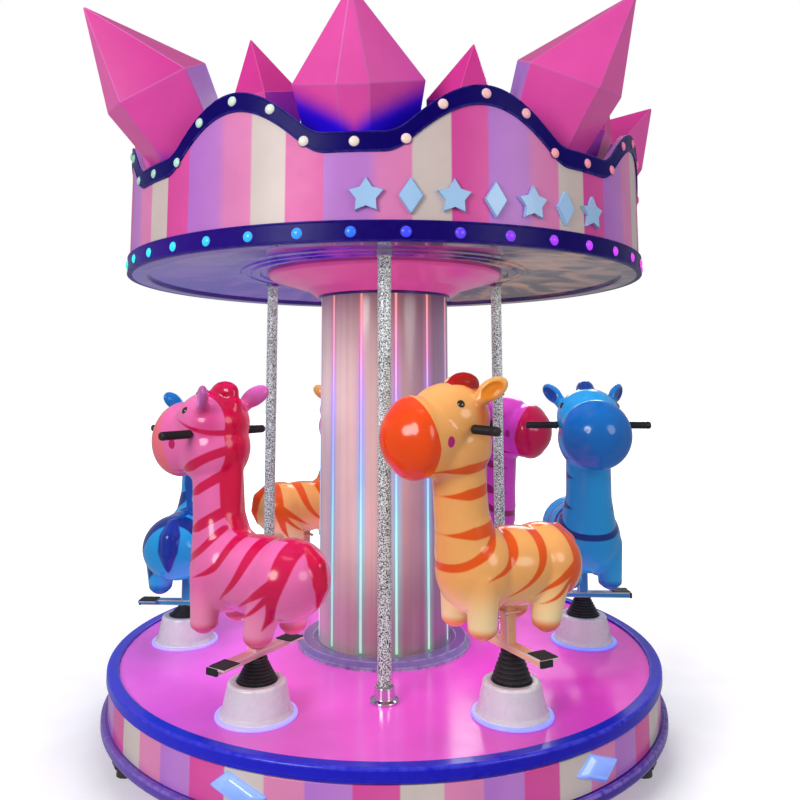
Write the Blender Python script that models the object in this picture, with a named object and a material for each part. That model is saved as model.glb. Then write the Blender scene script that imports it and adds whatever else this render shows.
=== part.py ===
"""Small carousel for young children: six rising animals on a turning deck under a crystal crown.

The base stands still. The deck, column, poles, canopy and crown turn together about the Z axis,
and each animal rises and sinks on its own lift rod. Metres, +Z up, origin on the ground at the axis.
"""
import math

import bmesh
import bpy
from mathutils import Matrix, Vector

# Clearances
TOUCH_GAP = 0.0003
BEARING_GAP = 0.0004
ROD_CLEARANCE = 0.0006
TURN_CLEARANCE = 0.005
MERGE_DISTANCE = 0.00001

# Heights measured from the ground
DECK_TOP = 0.280
DECK_THICKNESS = 0.035
FOOT_PAD_HEIGHT = 0.030

# Still base
BASE_RING_INNER_R = 1.030
BASE_RING_OUTER_R = 1.115
BASE_RING_BOTTOM = DECK_TOP - 0.190
BASE_RING_HEIGHT = 0.035
SKIRT_INNER_R = 1.060
SKIRT_OUTER_R = 1.090
ARM_COUNT = 6
ARM_WIDTH = 0.060
ARM_REACH = 1.085
FOOT_CIRCLE_R = 1.040
FOOT_R = 0.035
HUB_R = 0.220
HUB_FLANGE_R = 0.300
HUB_FLANGE_THICKNESS = 0.020
GEM_COUNT = 6
GEM_AZIMUTH = -53.0
GEM_HALF_WIDTH = 0.098
GEM_HALF_HEIGHT = 0.052
GEM_LEAN = 0.33
GEM_DROP = 0.097
GEM_RISE = 0.017
GEM_TABLE_SCALE = 0.62

# Turning deck
RIM_INNER_R = 1.055
RIM_OUTER_R = 1.100
RIM_LIP = 0.010
COLUMN_R = 0.275
COLUMN_HEIGHT = 1.450
COLUMN_GROOVES = 12
GROOVE_AZIMUTH = -80.0
GROOVE_WIDTH = 0.012
GROOVE_DEPTH = 0.004
GROOVE_ARC_STEPS = 3
FOOT_RING_OUTER_R = 0.360
FOOT_RING_HEIGHT = 0.030
POLE_AZIMUTHS = {"left": 150.0, "front": -90.0, "right": 30.0}
POLE_CIRCLE_R = 0.620
POLE_R = 0.0245
SOCKET_R = 0.034
SOCKET_FLANGE_R = 0.050
SOCKET_HEIGHT = 0.050

# Canopy and crown, heights above the deck
CEILING_LIP = 1.506
CEILING_FACE = 1.550
CANOPY_TOP = 1.573
LIP_INNER_R = 1.000
LIP_STEP = 0.012
DISH_FLAT_R = 0.680
BAND_INNER_R = 1.060
BAND_OUTER_R = 1.080
CEILING_RING_R = 0.565
CAPITAL_NECK_R = 0.300
CAPITAL_RIM_R = 0.510
WALL_INNER_R = 1.050
WALL_OUTER_R = 1.070
TRIM_OUTER_R = 1.075
TRIM_WIDTH = 0.066
SCALLOPS = 8
SCALLOP_AZIMUTH = -95.0
SCALLOP_STEPS = 10
VALLEY_TOP = 1.853
PEAK_TOP = 2.020
VALLEY_FLAT_DEG = 7.0
ROOF_THICKNESS = 0.014

# Crystals: an oblique point over a tilted girdle, with a tapering foot below it. Each has the girdle's
# radius, height above the deck, tilt and corner radius, the azimuths of its corners round its own
# centre, and the radius and height of its point.
CRYSTAL_SHAPES = {
    "upright": {"radius": 0.904, "height": 2.077, "tilt": 23.0, "corner_r": 0.235,
                "corners": (-119.0, -69.0, -13.0, 13.0, 69.0, 119.0), "point": (1.180, 2.277)},
    "right": {"radius": 1.003, "height": 2.145, "tilt": 31.0, "corner_r": 0.209,
              "corners": (-161.0, -89.0, -17.0, 55.0, 127.0), "point": (1.288, 2.351)},
    "left": {"radius": 1.078, "height": 2.138, "tilt": 36.0, "corner_r": 0.213,
             "corners": (-122.0, -50.0, 22.0, 94.0, 166.0), "point": (1.349, 2.361)},
    "small": {"radius": 0.880, "height": 2.070, "tilt": 15.0, "corner_r": 0.130,
              "corners": (-150.0, -90.0, -30.0, 30.0, 90.0, 150.0), "point": (0.985, 2.240)},
}
CRYSTAL_ORDER = ("upright", "right", "upright", "left")
CRYSTAL_FOOT_DROP = 0.450
CRYSTAL_FOOT_SCALE = 0.62
SMALL_CRYSTAL_SINK = 0.045

# Riders
RIDER_CIRCLE_R = 0.837
RIDER_TOE_IN = 3.0
RIDERS = {
    1: {"azimuth": -120.0, "lift": 0.050, "coat": "#E868A8"},
    2: {"azimuth": -60.0, "lift": 0.080, "coat": "#F0A850"},
    3: {"azimuth": 0.0, "lift": 0.053, "coat": "#2E90D0"},
    4: {"azimuth": 60.0, "lift": 0.010, "coat": "#C848B4"},
    5: {"azimuth": 120.0, "lift": 0.044, "coat": "#F0A850"},
    6: {"azimuth": 180.0, "lift": 0.015, "coat": "#2E90D0"},
}
CONE_HEIGHT = 0.110
CONE_FOOT_R = 0.115
CONE_TOP_R = 0.090
CONE_FLANGE_R = 0.135
CONE_FLANGE_HEIGHT = 0.012
ROD_R = 0.012
ROD_LENGTH = 0.160
DECK_HOLE_R = 0.017
BELLOWS_FOOT_R = 0.068
BELLOWS_TOP_R = 0.033
BELLOWS_BORE_R = 0.020
BAR_TOP_LOWEST = 0.150
BAR_HALF_LENGTH = 0.200
BAR_DEPTH = 0.044
BAR_HEIGHT = 0.020
BAR_FORWARD = 0.010
PLATE_INNER = 0.120
PLATE_OUTER = 0.195
PLATE_BACK = -0.040
PLATE_THICKNESS = 0.005
POST_SIDE = 0.040
POST_FORWARD = 0.012
POST_TOP = 0.190
GRIP_FORWARD = 0.215
GRIP_HEIGHT = 0.704
GRIP_R = 0.015
GRIP_HALF_LENGTH = 0.250
GRIP_SIDES = 10
COAT_VOXEL = 0.011
COAT_SMOOTHING = 6
COAT_TRIANGLES = 820

# Facets of the round parts
LARGE_SIDES = 64
MEDIUM_SIDES = 32
SMALL_SIDES = 16
POLE_SIDES = 12


def linear(hex_code):
    """One sRGB colour as linear RGBA."""
    channels = [int(hex_code[i:i + 2], 16) / 255 for i in (1, 3, 5)]
    return [c / 12.92 if c <= 0.04045 else ((c + 0.055) / 1.055) ** 2.4 for c in channels] + [1.0]


def polar(azimuth, radius, height):
    """A point at an azimuth in degrees, a radius and a height."""
    angle = math.radians(azimuth)
    return Vector((radius * math.cos(angle), radius * math.sin(angle), height))


def round_bore(radius, sides):
    """Corner radius of a faceted bore whose flats stay outside the given radius."""
    return radius / math.cos(math.pi / sides)


def outward_mesh(name, bm):
    """A mesh from bm with doubles merged and faces pointing out."""
    bmesh.ops.remove_doubles(bm, verts=bm.verts, dist=MERGE_DISTANCE)
    bmesh.ops.recalc_face_normals(bm, faces=bm.faces)
    mesh = bpy.data.meshes.new(name)
    bm.to_mesh(mesh)
    bm.free()
    return mesh


def turned_mesh(name, profile, sides):
    """A profile of (radius, height) points turned about Z; it is closed unless it ends on the axis."""
    bm = bmesh.new()
    verts = [bm.verts.new((radius, 0.0, height)) for radius, height in profile]
    edges = [bm.edges.new(pair) for pair in zip(verts, verts[1:])]
    if profile[0][0] > 0.0:
        edges.append(bm.edges.new((verts[-1], verts[0])))
    bmesh.ops.spin(bm, geom=verts + edges, cent=(0, 0, 0), axis=(0, 0, 1), dvec=(0, 0, 0),
                   angle=math.tau, steps=sides, use_merge=True)
    return outward_mesh(name, bm)


def ring_mesh(name, section_at, sides, first_azimuth):
    """A ring whose closed section of (radius, height) points changes with the azimuth."""
    bm = bmesh.new()
    rings = []
    for step in range(sides):
        azimuth = first_azimuth + 360.0 * step / sides
        rings.append([bm.verts.new(polar(azimuth, r, z)) for r, z in section_at(azimuth)])
    for ring, following in zip(rings, rings[1:] + rings[:1]):
        for corner in range(len(ring)):
            after = (corner + 1) % len(ring)
            bm.faces.new((ring[corner], ring[after], following[after], following[corner]))
    return outward_mesh(name, bm)


def add_box(bm, low, high):
    """A box between two corners."""
    size = Vector(high) - Vector(low)
    centre = (Vector(high) + Vector(low)) / 2
    bmesh.ops.create_cube(bm, size=1.0, matrix=Matrix.Translation(centre) @ Matrix.Diagonal((*size, 1.0)))


def add_cylinder(bm, radius, length, matrix, sides):
    """A cylinder along the Z axis of the matrix, centred on it."""
    bmesh.ops.create_cone(bm, cap_ends=True, segments=sides, radius1=radius, radius2=radius,
                          depth=length, matrix=matrix)


def add_ball(bm, centre, radii, turn=Matrix.Identity(4)):
    """An ellipsoid, turned about its centre."""
    bmesh.ops.create_uvsphere(bm, u_segments=20, v_segments=12, radius=1.0,
                              matrix=Matrix.Translation(centre) @ turn @ Matrix.Diagonal((*radii, 1.0)))


def add_limb(bm, stations):
    """A round limb through stations of (x, y, z, radius), with a ball at each station."""
    for x, y, z, radius in stations:
        add_ball(bm, (x, y, z), (radius, radius, radius))
    for start, end in zip(stations, stations[1:]):
        foot = Vector(start[:3])
        run = Vector(end[:3]) - foot
        turn = run.to_track_quat("Z", "Y").to_matrix().to_4x4()
        bmesh.ops.create_cone(bm, cap_ends=True, segments=20, radius1=start[3], radius2=end[3],
                              depth=run.length, matrix=Matrix.Translation(foot + run / 2) @ turn)


def link(name, mesh, parent=None, location=(0, 0, 0), rotation=0.0):
    """A new object in the scene, placed under its parent."""
    obj = bpy.data.objects.new(name, mesh)
    bpy.context.scene.collection.objects.link(obj)
    obj.parent = parent
    obj.location = location
    obj.rotation_euler = (0.0, 0.0, math.radians(rotation))
    return obj


def paint(obj, hex_code, roughness, metallic=0.0):
    """The object's own material, and smooth shading across shallow edges."""
    material = bpy.data.materials.new(obj.name + "_finish")
    material.use_nodes = True
    shader = material.node_tree.nodes["Principled BSDF"]
    shader.inputs["Base Color"].default_value = linear(hex_code)
    shader.inputs["Roughness"].default_value = roughness
    shader.inputs["Metallic"].default_value = metallic
    if not obj.data.materials:
        obj.data.materials.append(None)
    obj.material_slots[0].link = "OBJECT"
    obj.material_slots[0].material = material
    obj.data.shade_smooth()
    obj.data.set_sharp_from_angle(angle=math.radians(35))
    return obj


def combined(obj, *steps):
    """Applies Boolean steps of (operation, bmesh) to the object and returns its finished mesh."""
    for number, (operation, bm) in enumerate(steps):
        cutter = link("tool", outward_mesh("tool", bm))
        cutter.hide_render = True
        cutter.display_type = "WIRE"
        boolean = obj.modifiers.new("step_%d" % number, "BOOLEAN")
        boolean.operation = operation
        boolean.solver = "EXACT"
        boolean.object = cutter
    depsgraph = bpy.context.evaluated_depsgraph_get()
    mesh = bpy.data.meshes.new_from_object(obj.evaluated_get(depsgraph))
    for boolean in list(obj.modifiers):
        bpy.data.objects.remove(boolean.object)
    bpy.data.objects.remove(obj)
    return mesh


def base_frame():
    """Bearing hub with six arms and foot pads; it carries the ring, the skirt and the turntable."""
    arm_bottom = FOOT_PAD_HEIGHT
    arm_top = BASE_RING_BOTTOM - TOUCH_GAP
    hub_top = DECK_TOP - DECK_THICKNESS - BEARING_GAP
    flange_bottom = hub_top - HUB_FLANGE_THICKNESS
    hub = link("hub", turned_mesh("hub", [
        (0.0, arm_bottom), (HUB_R, arm_bottom), (HUB_R, flange_bottom - 0.05),
        (HUB_FLANGE_R, flange_bottom), (HUB_FLANGE_R, hub_top), (0.0, hub_top)], MEDIUM_SIDES))
    arms = bmesh.new()
    feet = bmesh.new()
    arm_root = HUB_R - 0.05
    for number in range(ARM_COUNT):
        turn = Matrix.Rotation(math.radians(30.0 + 360.0 * number / ARM_COUNT), 4, "Z")
        arm = bmesh.new()
        add_box(arm, (arm_root, -ARM_WIDTH / 2, arm_bottom + 0.005), (ARM_REACH, ARM_WIDTH / 2, arm_top))
        arm.transform(turn)
        shape = bpy.data.meshes.new("arm")
        arm.to_mesh(shape)
        arm.free()
        arms.from_mesh(shape)
        place = turn @ Matrix.Translation((FOOT_CIRCLE_R, 0.0, arm_bottom / 2 + 0.01))
        add_cylinder(feet, FOOT_R, arm_bottom + 0.02, place, SMALL_SIDES)
    return combined(hub, ("UNION", arms), ("UNION", feet))


def base_skirt():
    """Striped wall of the base with six raised gems, each a leaning rhombus."""
    bottom = BASE_RING_BOTTOM + BASE_RING_HEIGHT + TOUCH_GAP
    top = DECK_TOP - DECK_THICKNESS - TURN_CLEARANCE
    wall = link("wall", turned_mesh("wall", [
        (SKIRT_INNER_R, bottom), (SKIRT_OUTER_R, bottom), (SKIRT_OUTER_R, top), (SKIRT_INNER_R, top)],
        LARGE_SIDES))
    gems = bmesh.new()
    corners = ((1, 0), (-GEM_LEAN, 1), (-1, 0), (GEM_LEAN, -1))
    root_r = SKIRT_OUTER_R - 0.012
    for number in range(GEM_COUNT):
        azimuth = GEM_AZIMUTH + 360.0 * number / GEM_COUNT
        turn = Matrix.Rotation(math.radians(azimuth), 4, "Z")
        loops = []
        for radius, scale in ((root_r, 1.0), (SKIRT_OUTER_R + 0.002, 1.0),
                              (SKIRT_OUTER_R + GEM_RISE, GEM_TABLE_SCALE)):
            loops.append([gems.verts.new(turn @ Vector((
                radius, side * GEM_HALF_WIDTH * scale, DECK_TOP - GEM_DROP + rise * GEM_HALF_HEIGHT * scale)))
                for side, rise in corners])
        gems.faces.new(loops[0])
        gems.faces.new(loops[-1])
        for inner, outer in zip(loops, loops[1:]):
            for corner in range(len(corners)):
                after = (corner + 1) % len(corners)
                gems.faces.new((inner[corner], inner[after], outer[after], outer[corner]))
    return combined(wall, ("UNION", gems))


def base_ring():
    """Rounded ring under the skirt."""
    bottom = BASE_RING_BOTTOM
    top = bottom + BASE_RING_HEIGHT
    return turned_mesh("base_ring", [
        (BASE_RING_INNER_R, bottom), (BASE_RING_OUTER_R - 0.008, bottom), (BASE_RING_OUTER_R, bottom + 0.008),
        (BASE_RING_OUTER_R, top - 0.008), (BASE_RING_OUTER_R - 0.008, top), (BASE_RING_INNER_R, top)],
        LARGE_SIDES)


def deck_panel():
    """Round deck with a hole for each lift rod."""
    panel = link("panel", turned_mesh("panel", [
        (0.0, DECK_TOP - DECK_THICKNESS), (RIM_INNER_R - TOUCH_GAP, DECK_TOP - DECK_THICKNESS),
        (RIM_INNER_R - TOUCH_GAP, DECK_TOP), (0.0, DECK_TOP)], LARGE_SIDES))
    holes = bmesh.new()
    for rider in RIDERS.values():
        place = Matrix.Translation(polar(rider["azimuth"], RIDER_CIRCLE_R, DECK_TOP))
        add_cylinder(holes, DECK_HOLE_R, 4 * DECK_THICKNESS, place, POLE_SIDES)
    return combined(panel, ("DIFFERENCE", holes))


def deck_rim():
    """Raised edge of the deck."""
    bottom = DECK_TOP - DECK_THICKNESS
    top = DECK_TOP + RIM_LIP
    return turned_mesh("deck_rim", [
        (RIM_INNER_R, bottom), (RIM_OUTER_R, bottom), (RIM_OUTER_R, top - 0.006),
        (RIM_OUTER_R - 0.006, top), (RIM_INNER_R + 0.006, top), (RIM_INNER_R, top - 0.004)], LARGE_SIDES)


def column():
    """Column with upright light grooves."""
    bm = bmesh.new()
    outline = []
    half_groove = math.degrees(GROOVE_WIDTH / 2 / COLUMN_R)
    pitch = 360.0 / COLUMN_GROOVES
    for number in range(COLUMN_GROOVES):
        centre = GROOVE_AZIMUTH + pitch * number
        outline += [polar(centre - half_groove, COLUMN_R - GROOVE_DEPTH, 0.0),
                    polar(centre + half_groove, COLUMN_R - GROOVE_DEPTH, 0.0)]
        for step in range(GROOVE_ARC_STEPS + 1):
            share = step / GROOVE_ARC_STEPS
            outline.append(polar(centre + half_groove + share * (pitch - 2 * half_groove), COLUMN_R, 0.0))
    foot = bm.faces.new([bm.verts.new(point + Vector((0, 0, DECK_TOP + TOUCH_GAP))) for point in outline])
    lifted = bmesh.ops.extrude_face_region(bm, geom=[foot])["geom"]
    moved = [item for item in lifted if isinstance(item, bmesh.types.BMVert)]
    bmesh.ops.translate(bm, verts=moved, vec=(0, 0, COLUMN_HEIGHT - 2 * TOUCH_GAP))
    return outward_mesh("column", bm)


def column_foot_ring():
    """Low sloped ring round the foot of the column."""
    inner = round_bore(COLUMN_R + TOUCH_GAP, MEDIUM_SIDES)
    bottom = DECK_TOP + TOUCH_GAP
    return turned_mesh("column_foot_ring", [
        (inner, bottom), (FOOT_RING_OUTER_R, bottom), (FOOT_RING_OUTER_R, bottom + 0.012),
        (FOOT_RING_OUTER_R - 0.02, DECK_TOP + FOOT_RING_HEIGHT), (inner, DECK_TOP + FOOT_RING_HEIGHT)],
        MEDIUM_SIDES)


def column_capital():
    """Wide flared head of the column under the ceiling."""
    bottom = DECK_TOP + COLUMN_HEIGHT
    top = DECK_TOP + CEILING_FACE - TOUCH_GAP
    return turned_mesh("column_capital", [
        (0.0, bottom), (CAPITAL_NECK_R - 0.01, bottom), (CAPITAL_NECK_R, bottom + 0.008),
        (CAPITAL_RIM_R - 0.01, top - 0.022), (CAPITAL_RIM_R, top - 0.010), (CAPITAL_RIM_R, top),
        (0.0, top)], MEDIUM_SIDES)


def pole():
    """Clear pole with a flanged socket at its foot."""
    bottom = DECK_TOP + TOUCH_GAP
    top = DECK_TOP + CEILING_FACE - TOUCH_GAP
    return turned_mesh("pole", [
        (0.0, bottom), (SOCKET_FLANGE_R, bottom), (SOCKET_FLANGE_R, bottom + 0.008),
        (SOCKET_R, bottom + 0.012), (SOCKET_R, bottom + SOCKET_HEIGHT), (POLE_R, bottom + SOCKET_HEIGHT + 0.004),
        (POLE_R, top), (0.0, top)], POLE_SIDES)


def ceiling_panel():
    """Dished ceiling with a stepped outer lip and a shallow ring round the capital."""
    face = DECK_TOP + CEILING_FACE
    lip = DECK_TOP + CEILING_LIP
    edge = BAND_INNER_R - TOUCH_GAP
    return turned_mesh("ceiling_panel", [
        (0.0, face), (CEILING_RING_R - 0.02, face), (CEILING_RING_R - 0.01, face - 0.008),
        (CEILING_RING_R + 0.01, face - 0.008), (CEILING_RING_R + 0.02, face), (DISH_FLAT_R, face),
        (LIP_INNER_R, lip + LIP_STEP), (LIP_INNER_R + 0.008, lip), (edge, lip), (edge, DECK_TOP + CANOPY_TOP), (0.0, DECK_TOP + CANOPY_TOP)],
        LARGE_SIDES)


def canopy_band():
    """Upright band round the ceiling that carries the lower row of lamps."""
    return turned_mesh("canopy_band", [
        (BAND_INNER_R, DECK_TOP + CEILING_LIP), (BAND_OUTER_R - 0.004, DECK_TOP + CEILING_LIP),
        (BAND_OUTER_R, DECK_TOP + CEILING_LIP + 0.004), (BAND_OUTER_R, DECK_TOP + CANOPY_TOP),
        (BAND_INNER_R, DECK_TOP + CANOPY_TOP)], LARGE_SIDES)


def scallop_top(azimuth):
    """Height above the deck of the crown's wavy top edge."""
    pitch = 360.0 / SCALLOPS
    offset = abs((azimuth - SCALLOP_AZIMUTH + pitch / 2) % pitch - pitch / 2)
    climb = max(0.0, (offset - VALLEY_FLAT_DEG) / (pitch / 2 - VALLEY_FLAT_DEG))
    return VALLEY_TOP + (PEAK_TOP - VALLEY_TOP) * math.sin(math.pi / 2 * climb)


def crown_wall():
    """Striped wall of the crown with a wavy top edge."""
    bottom = DECK_TOP + CANOPY_TOP + TOUCH_GAP

    def section(azimuth):
        top = DECK_TOP + scallop_top(azimuth)
        return (WALL_INNER_R, bottom), (WALL_OUTER_R, bottom), (WALL_OUTER_R, top), (WALL_INNER_R, top)
    return ring_mesh("crown_wall", section, SCALLOPS * SCALLOP_STEPS, SCALLOP_AZIMUTH)


def crown_trim():
    """Raised border that follows the wavy edge and carries the upper row of lamps."""
    inner = WALL_OUTER_R + 2 * TOUCH_GAP

    def section(azimuth):
        top = DECK_TOP + scallop_top(azimuth)
        bottom = top - TRIM_WIDTH
        return (inner, bottom), (TRIM_OUTER_R, bottom), (TRIM_OUTER_R, top), (inner, top)
    return ring_mesh("crown_trim", section, SCALLOPS * SCALLOP_STEPS, SCALLOP_AZIMUTH)


def crystal_mesh(name, shape, sink=0.0):
    """A crystal at azimuth 0, cut flat where it stands on the roof panel."""
    bm = bmesh.new()
    place = (Matrix.Translation((shape["radius"], 0, DECK_TOP + shape["height"] - sink))
             @ Matrix.Rotation(math.radians(shape["tilt"]), 4, "Y"))
    point_r, point_height = shape["point"]
    point = bm.verts.new((point_r, 0, DECK_TOP + point_height - sink))
    girdle = [bm.verts.new(place @ polar(corner, shape["corner_r"], 0.0)) for corner in shape["corners"]]
    foot = [bm.verts.new(place @ polar(corner, CRYSTAL_FOOT_SCALE * shape["corner_r"], -CRYSTAL_FOOT_DROP))
            for corner in shape["corners"]]
    bm.faces.new(foot)
    for first in range(len(girdle)):
        second = (first + 1) % len(girdle)
        bm.faces.new((girdle[first], girdle[second], point))
        bm.faces.new((foot[first], foot[second], girdle[second], girdle[first]))
    floor = DECK_TOP + VALLEY_TOP + 2 * TOUCH_GAP
    cut = bmesh.ops.bisect_plane(bm, geom=bm.verts[:] + bm.edges[:] + bm.faces[:], dist=MERGE_DISTANCE,
                                 plane_co=(0, 0, floor), plane_no=(0, 0, -1), clear_outer=True)
    rim = [item for item in cut["geom_cut"] if isinstance(item, bmesh.types.BMEdge)]
    bmesh.ops.contextual_create(bm, geom=rim)
    return outward_mesh(name, bm)


def roof_panel():
    """Flat roof inside the crown wall, with a small crystal standing behind each peak."""
    top = DECK_TOP + VALLEY_TOP
    edge = WALL_INNER_R - 2 * TOUCH_GAP
    panel = turned_mesh("roof", [(0.0, top - ROOF_THICKNESS), (edge, top - ROOF_THICKNESS), (edge, top),
                                 (0.0, top)], SCALLOPS * SCALLOP_STEPS)
    panel.transform(Matrix.Rotation(math.radians(SCALLOP_AZIMUTH), 4, "Z"))
    crystals = bmesh.new()
    for number in range(SCALLOPS):
        azimuth = SCALLOP_AZIMUTH + (number + 0.5) * 360.0 / SCALLOPS
        small = crystal_mesh("small", CRYSTAL_SHAPES["small"], 0.0 if number % 2 else SMALL_CRYSTAL_SINK)
        small.transform(Matrix.Translation((0, 0, -3 * TOUCH_GAP)))
        small.transform(Matrix.Rotation(math.radians(azimuth), 4, "Z"))
        crystals.from_mesh(small)
    return combined(link("roof", panel), ("UNION", crystals))


def lift_cone():
    """White cone that guides a lift rod, with a flanged foot; its origin is on the deck."""
    bore = round_bore(ROD_R + ROD_CLEARANCE, SMALL_SIDES)
    return turned_mesh("lift_cone", [
        (bore, TOUCH_GAP), (CONE_FLANGE_R, TOUCH_GAP), (CONE_FLANGE_R - 0.004, CONE_FLANGE_HEIGHT),
        (CONE_FOOT_R, CONE_FLANGE_HEIGHT), (CONE_TOP_R + 0.004, CONE_HEIGHT - 0.012),
        (CONE_TOP_R - 0.008, CONE_HEIGHT), (bore, CONE_HEIGHT)], SMALL_SIDES)


def bellows(lift):
    """Tapered rubber bellows between the cone and the footrest bar; its origin is on the deck."""
    bottom = CONE_HEIGHT + TOUCH_GAP
    top = BAR_TOP_LOWEST - BAR_HEIGHT + lift - TOUCH_GAP
    middle = (bottom + top) / 2
    return turned_mesh("bellows", [
        (BELLOWS_BORE_R, bottom), (BELLOWS_FOOT_R, bottom),
        ((BELLOWS_FOOT_R + BELLOWS_TOP_R) / 2, middle), (BELLOWS_TOP_R, top), (BELLOWS_BORE_R, top)], POLE_SIDES)


def footrest():
    """Bar with two tread plates, the post up to the animal and the lift rod below."""
    bar_back = BAR_FORWARD - BAR_DEPTH / 2
    bar_front = BAR_FORWARD + BAR_DEPTH / 2
    bar = bmesh.new()
    add_box(bar, (bar_back, -BAR_HALF_LENGTH, -BAR_HEIGHT), (bar_front, BAR_HALF_LENGTH, 0.0))
    fittings = bmesh.new()
    add_box(fittings, (POST_FORWARD - POST_SIDE / 2, -POST_SIDE / 2, -BAR_HEIGHT / 2),
            (POST_FORWARD + POST_SIDE / 2 - 0.002, POST_SIDE / 2, POST_TOP))
    for side in (-1, 1):
        near, far = sorted((side * PLATE_INNER, side * PLATE_OUTER))
        add_box(fittings, (PLATE_BACK, near, -PLATE_THICKNESS), (bar_front - 0.002, far, PLATE_THICKNESS))
    rod_top = -BAR_HEIGHT + 0.005
    rod_bottom = -BAR_HEIGHT - ROD_LENGTH
    add_cylinder(fittings, ROD_R, rod_top - rod_bottom,
                 Matrix.Translation((0, 0, (rod_top + rod_bottom) / 2)), SMALL_SIDES)
    return combined(link("bar", outward_mesh("bar", bar)), ("UNION", fittings))


def crossways(radius_gap=0.0, half_length=GRIP_HALF_LENGTH):
    """A round bar across the animal at the handlebar's place."""
    bm = bmesh.new()
    place = Matrix.Translation((GRIP_FORWARD, 0, GRIP_HEIGHT)) @ Matrix.Rotation(math.pi / 2, 4, "X")
    add_cylinder(bm, GRIP_R + radius_gap, 2 * half_length, place, GRIP_SIDES)
    return bm


def handlebar():
    """Round handlebar through the head, with rounded ends."""
    bm = crossways()
    ends = [edge for face in bm.faces if len(face.verts) == GRIP_SIDES for edge in face.edges]
    bmesh.ops.bevel(bm, geom=ends, offset=0.005, segments=1, affect="EDGES")
    return outward_mesh("handlebar", bm)


def ear_turn(side):
    """Turns a flat ellipsoid so that its length runs up and out and its face looks forward and out."""
    length = Vector((-0.066, side * 0.058, 0.055)).normalized()
    face = Vector((0.6, side * 0.75, -0.1))
    width = face.cross(length).normalized()
    return Matrix((length, width, length.cross(width))).transposed().to_4x4()


def animal():
    """Striped riding animal with a long neck and a blunt muzzle; its origin is on the footrest bar."""
    bm = bmesh.new()
    add_ball(bm, (-0.010, 0, 0.245), (0.205, 0.138, 0.128))
    add_ball(bm, (-0.130, 0, 0.245), (0.135, 0.142, 0.130))
    add_ball(bm, (0.135, 0, 0.250), (0.135, 0.132, 0.145))
    add_limb(bm, [(0.165, 0, 0.300, 0.110), (0.188, 0, 0.420, 0.090), (0.198, 0, 0.560, 0.088)])
    add_ball(bm, (0.220, 0, 0.650), (0.132, 0.122, 0.130))
    add_ball(bm, (0.232, 0, 0.735), (0.138, 0.126, 0.116))
    add_limb(bm, [(0.275, 0, 0.682, 0.122), (0.345, 0, 0.675, 0.130)])
    add_ball(bm, (0.370, 0, 0.675), (0.088, 0.135, 0.135))
    add_ball(bm, (0.175, 0, 0.845), (0.060, 0.036, 0.040))
    add_limb(bm, [(0.138, 0, 0.800, 0.036), (0.125, 0, 0.640, 0.034), (0.127, 0, 0.430, 0.032)])
    add_limb(bm, [(-0.196, 0, 0.345, 0.024), (-0.238, 0, 0.300, 0.034), (-0.246, 0, 0.240, 0.034),
                  (-0.230, 0, 0.180, 0.020)])
    for side in (-1, 1):
        add_limb(bm, [(0.166, side * 0.080, 0.095, 0.047), (0.162, side * 0.078, 0.230, 0.056)])
        add_limb(bm, [(-0.078, side * 0.086, 0.092, 0.049), (-0.110, side * 0.078, 0.220, 0.064)])
        for x, y, z in ((0.166, 0.080, 0.095), (-0.078, 0.086, 0.092)):
            add_cylinder(bm, 0.047, 0.050, Matrix.Translation((x, side * y, z)), 20)
        add_limb(bm, [(0.184, side * 0.092, 0.785, 0.026), (0.160, side * 0.120, 0.815, 0.022)])
        add_ball(bm, (0.151, side * 0.129, 0.828), (0.060, 0.036, 0.020), ear_turn(side))
    coat = link("coat", outward_mesh("coat", bm))
    remesh = coat.modifiers.new("skin", "REMESH")
    remesh.mode = "VOXEL"
    remesh.voxel_size = COAT_VOXEL
    smooth = coat.modifiers.new("soften", "SMOOTH")
    smooth.iterations = COAT_SMOOTHING
    fine = bpy.data.meshes.new_from_object(coat.evaluated_get(bpy.context.evaluated_depsgraph_get()))
    fine.calc_loop_triangles()
    thin = coat.modifiers.new("thin", "DECIMATE")
    thin.ratio = COAT_TRIANGLES / len(fine.loop_triangles)
    plain = bpy.data.meshes.new_from_object(coat.evaluated_get(bpy.context.evaluated_depsgraph_get()))
    bpy.data.objects.remove(coat)
    pocket = bmesh.new()
    room = POST_SIDE / 2 + TOUCH_GAP
    add_box(pocket, (POST_FORWARD - room, -room, 0.0), (POST_FORWARD + room, room, POST_TOP + TOUCH_GAP))
    bore = crossways(2 * TOUCH_GAP, 2 * GRIP_HALF_LENGTH)
    return combined(link("body", plain), ("DIFFERENCE", pocket), ("DIFFERENCE", bore))


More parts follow.
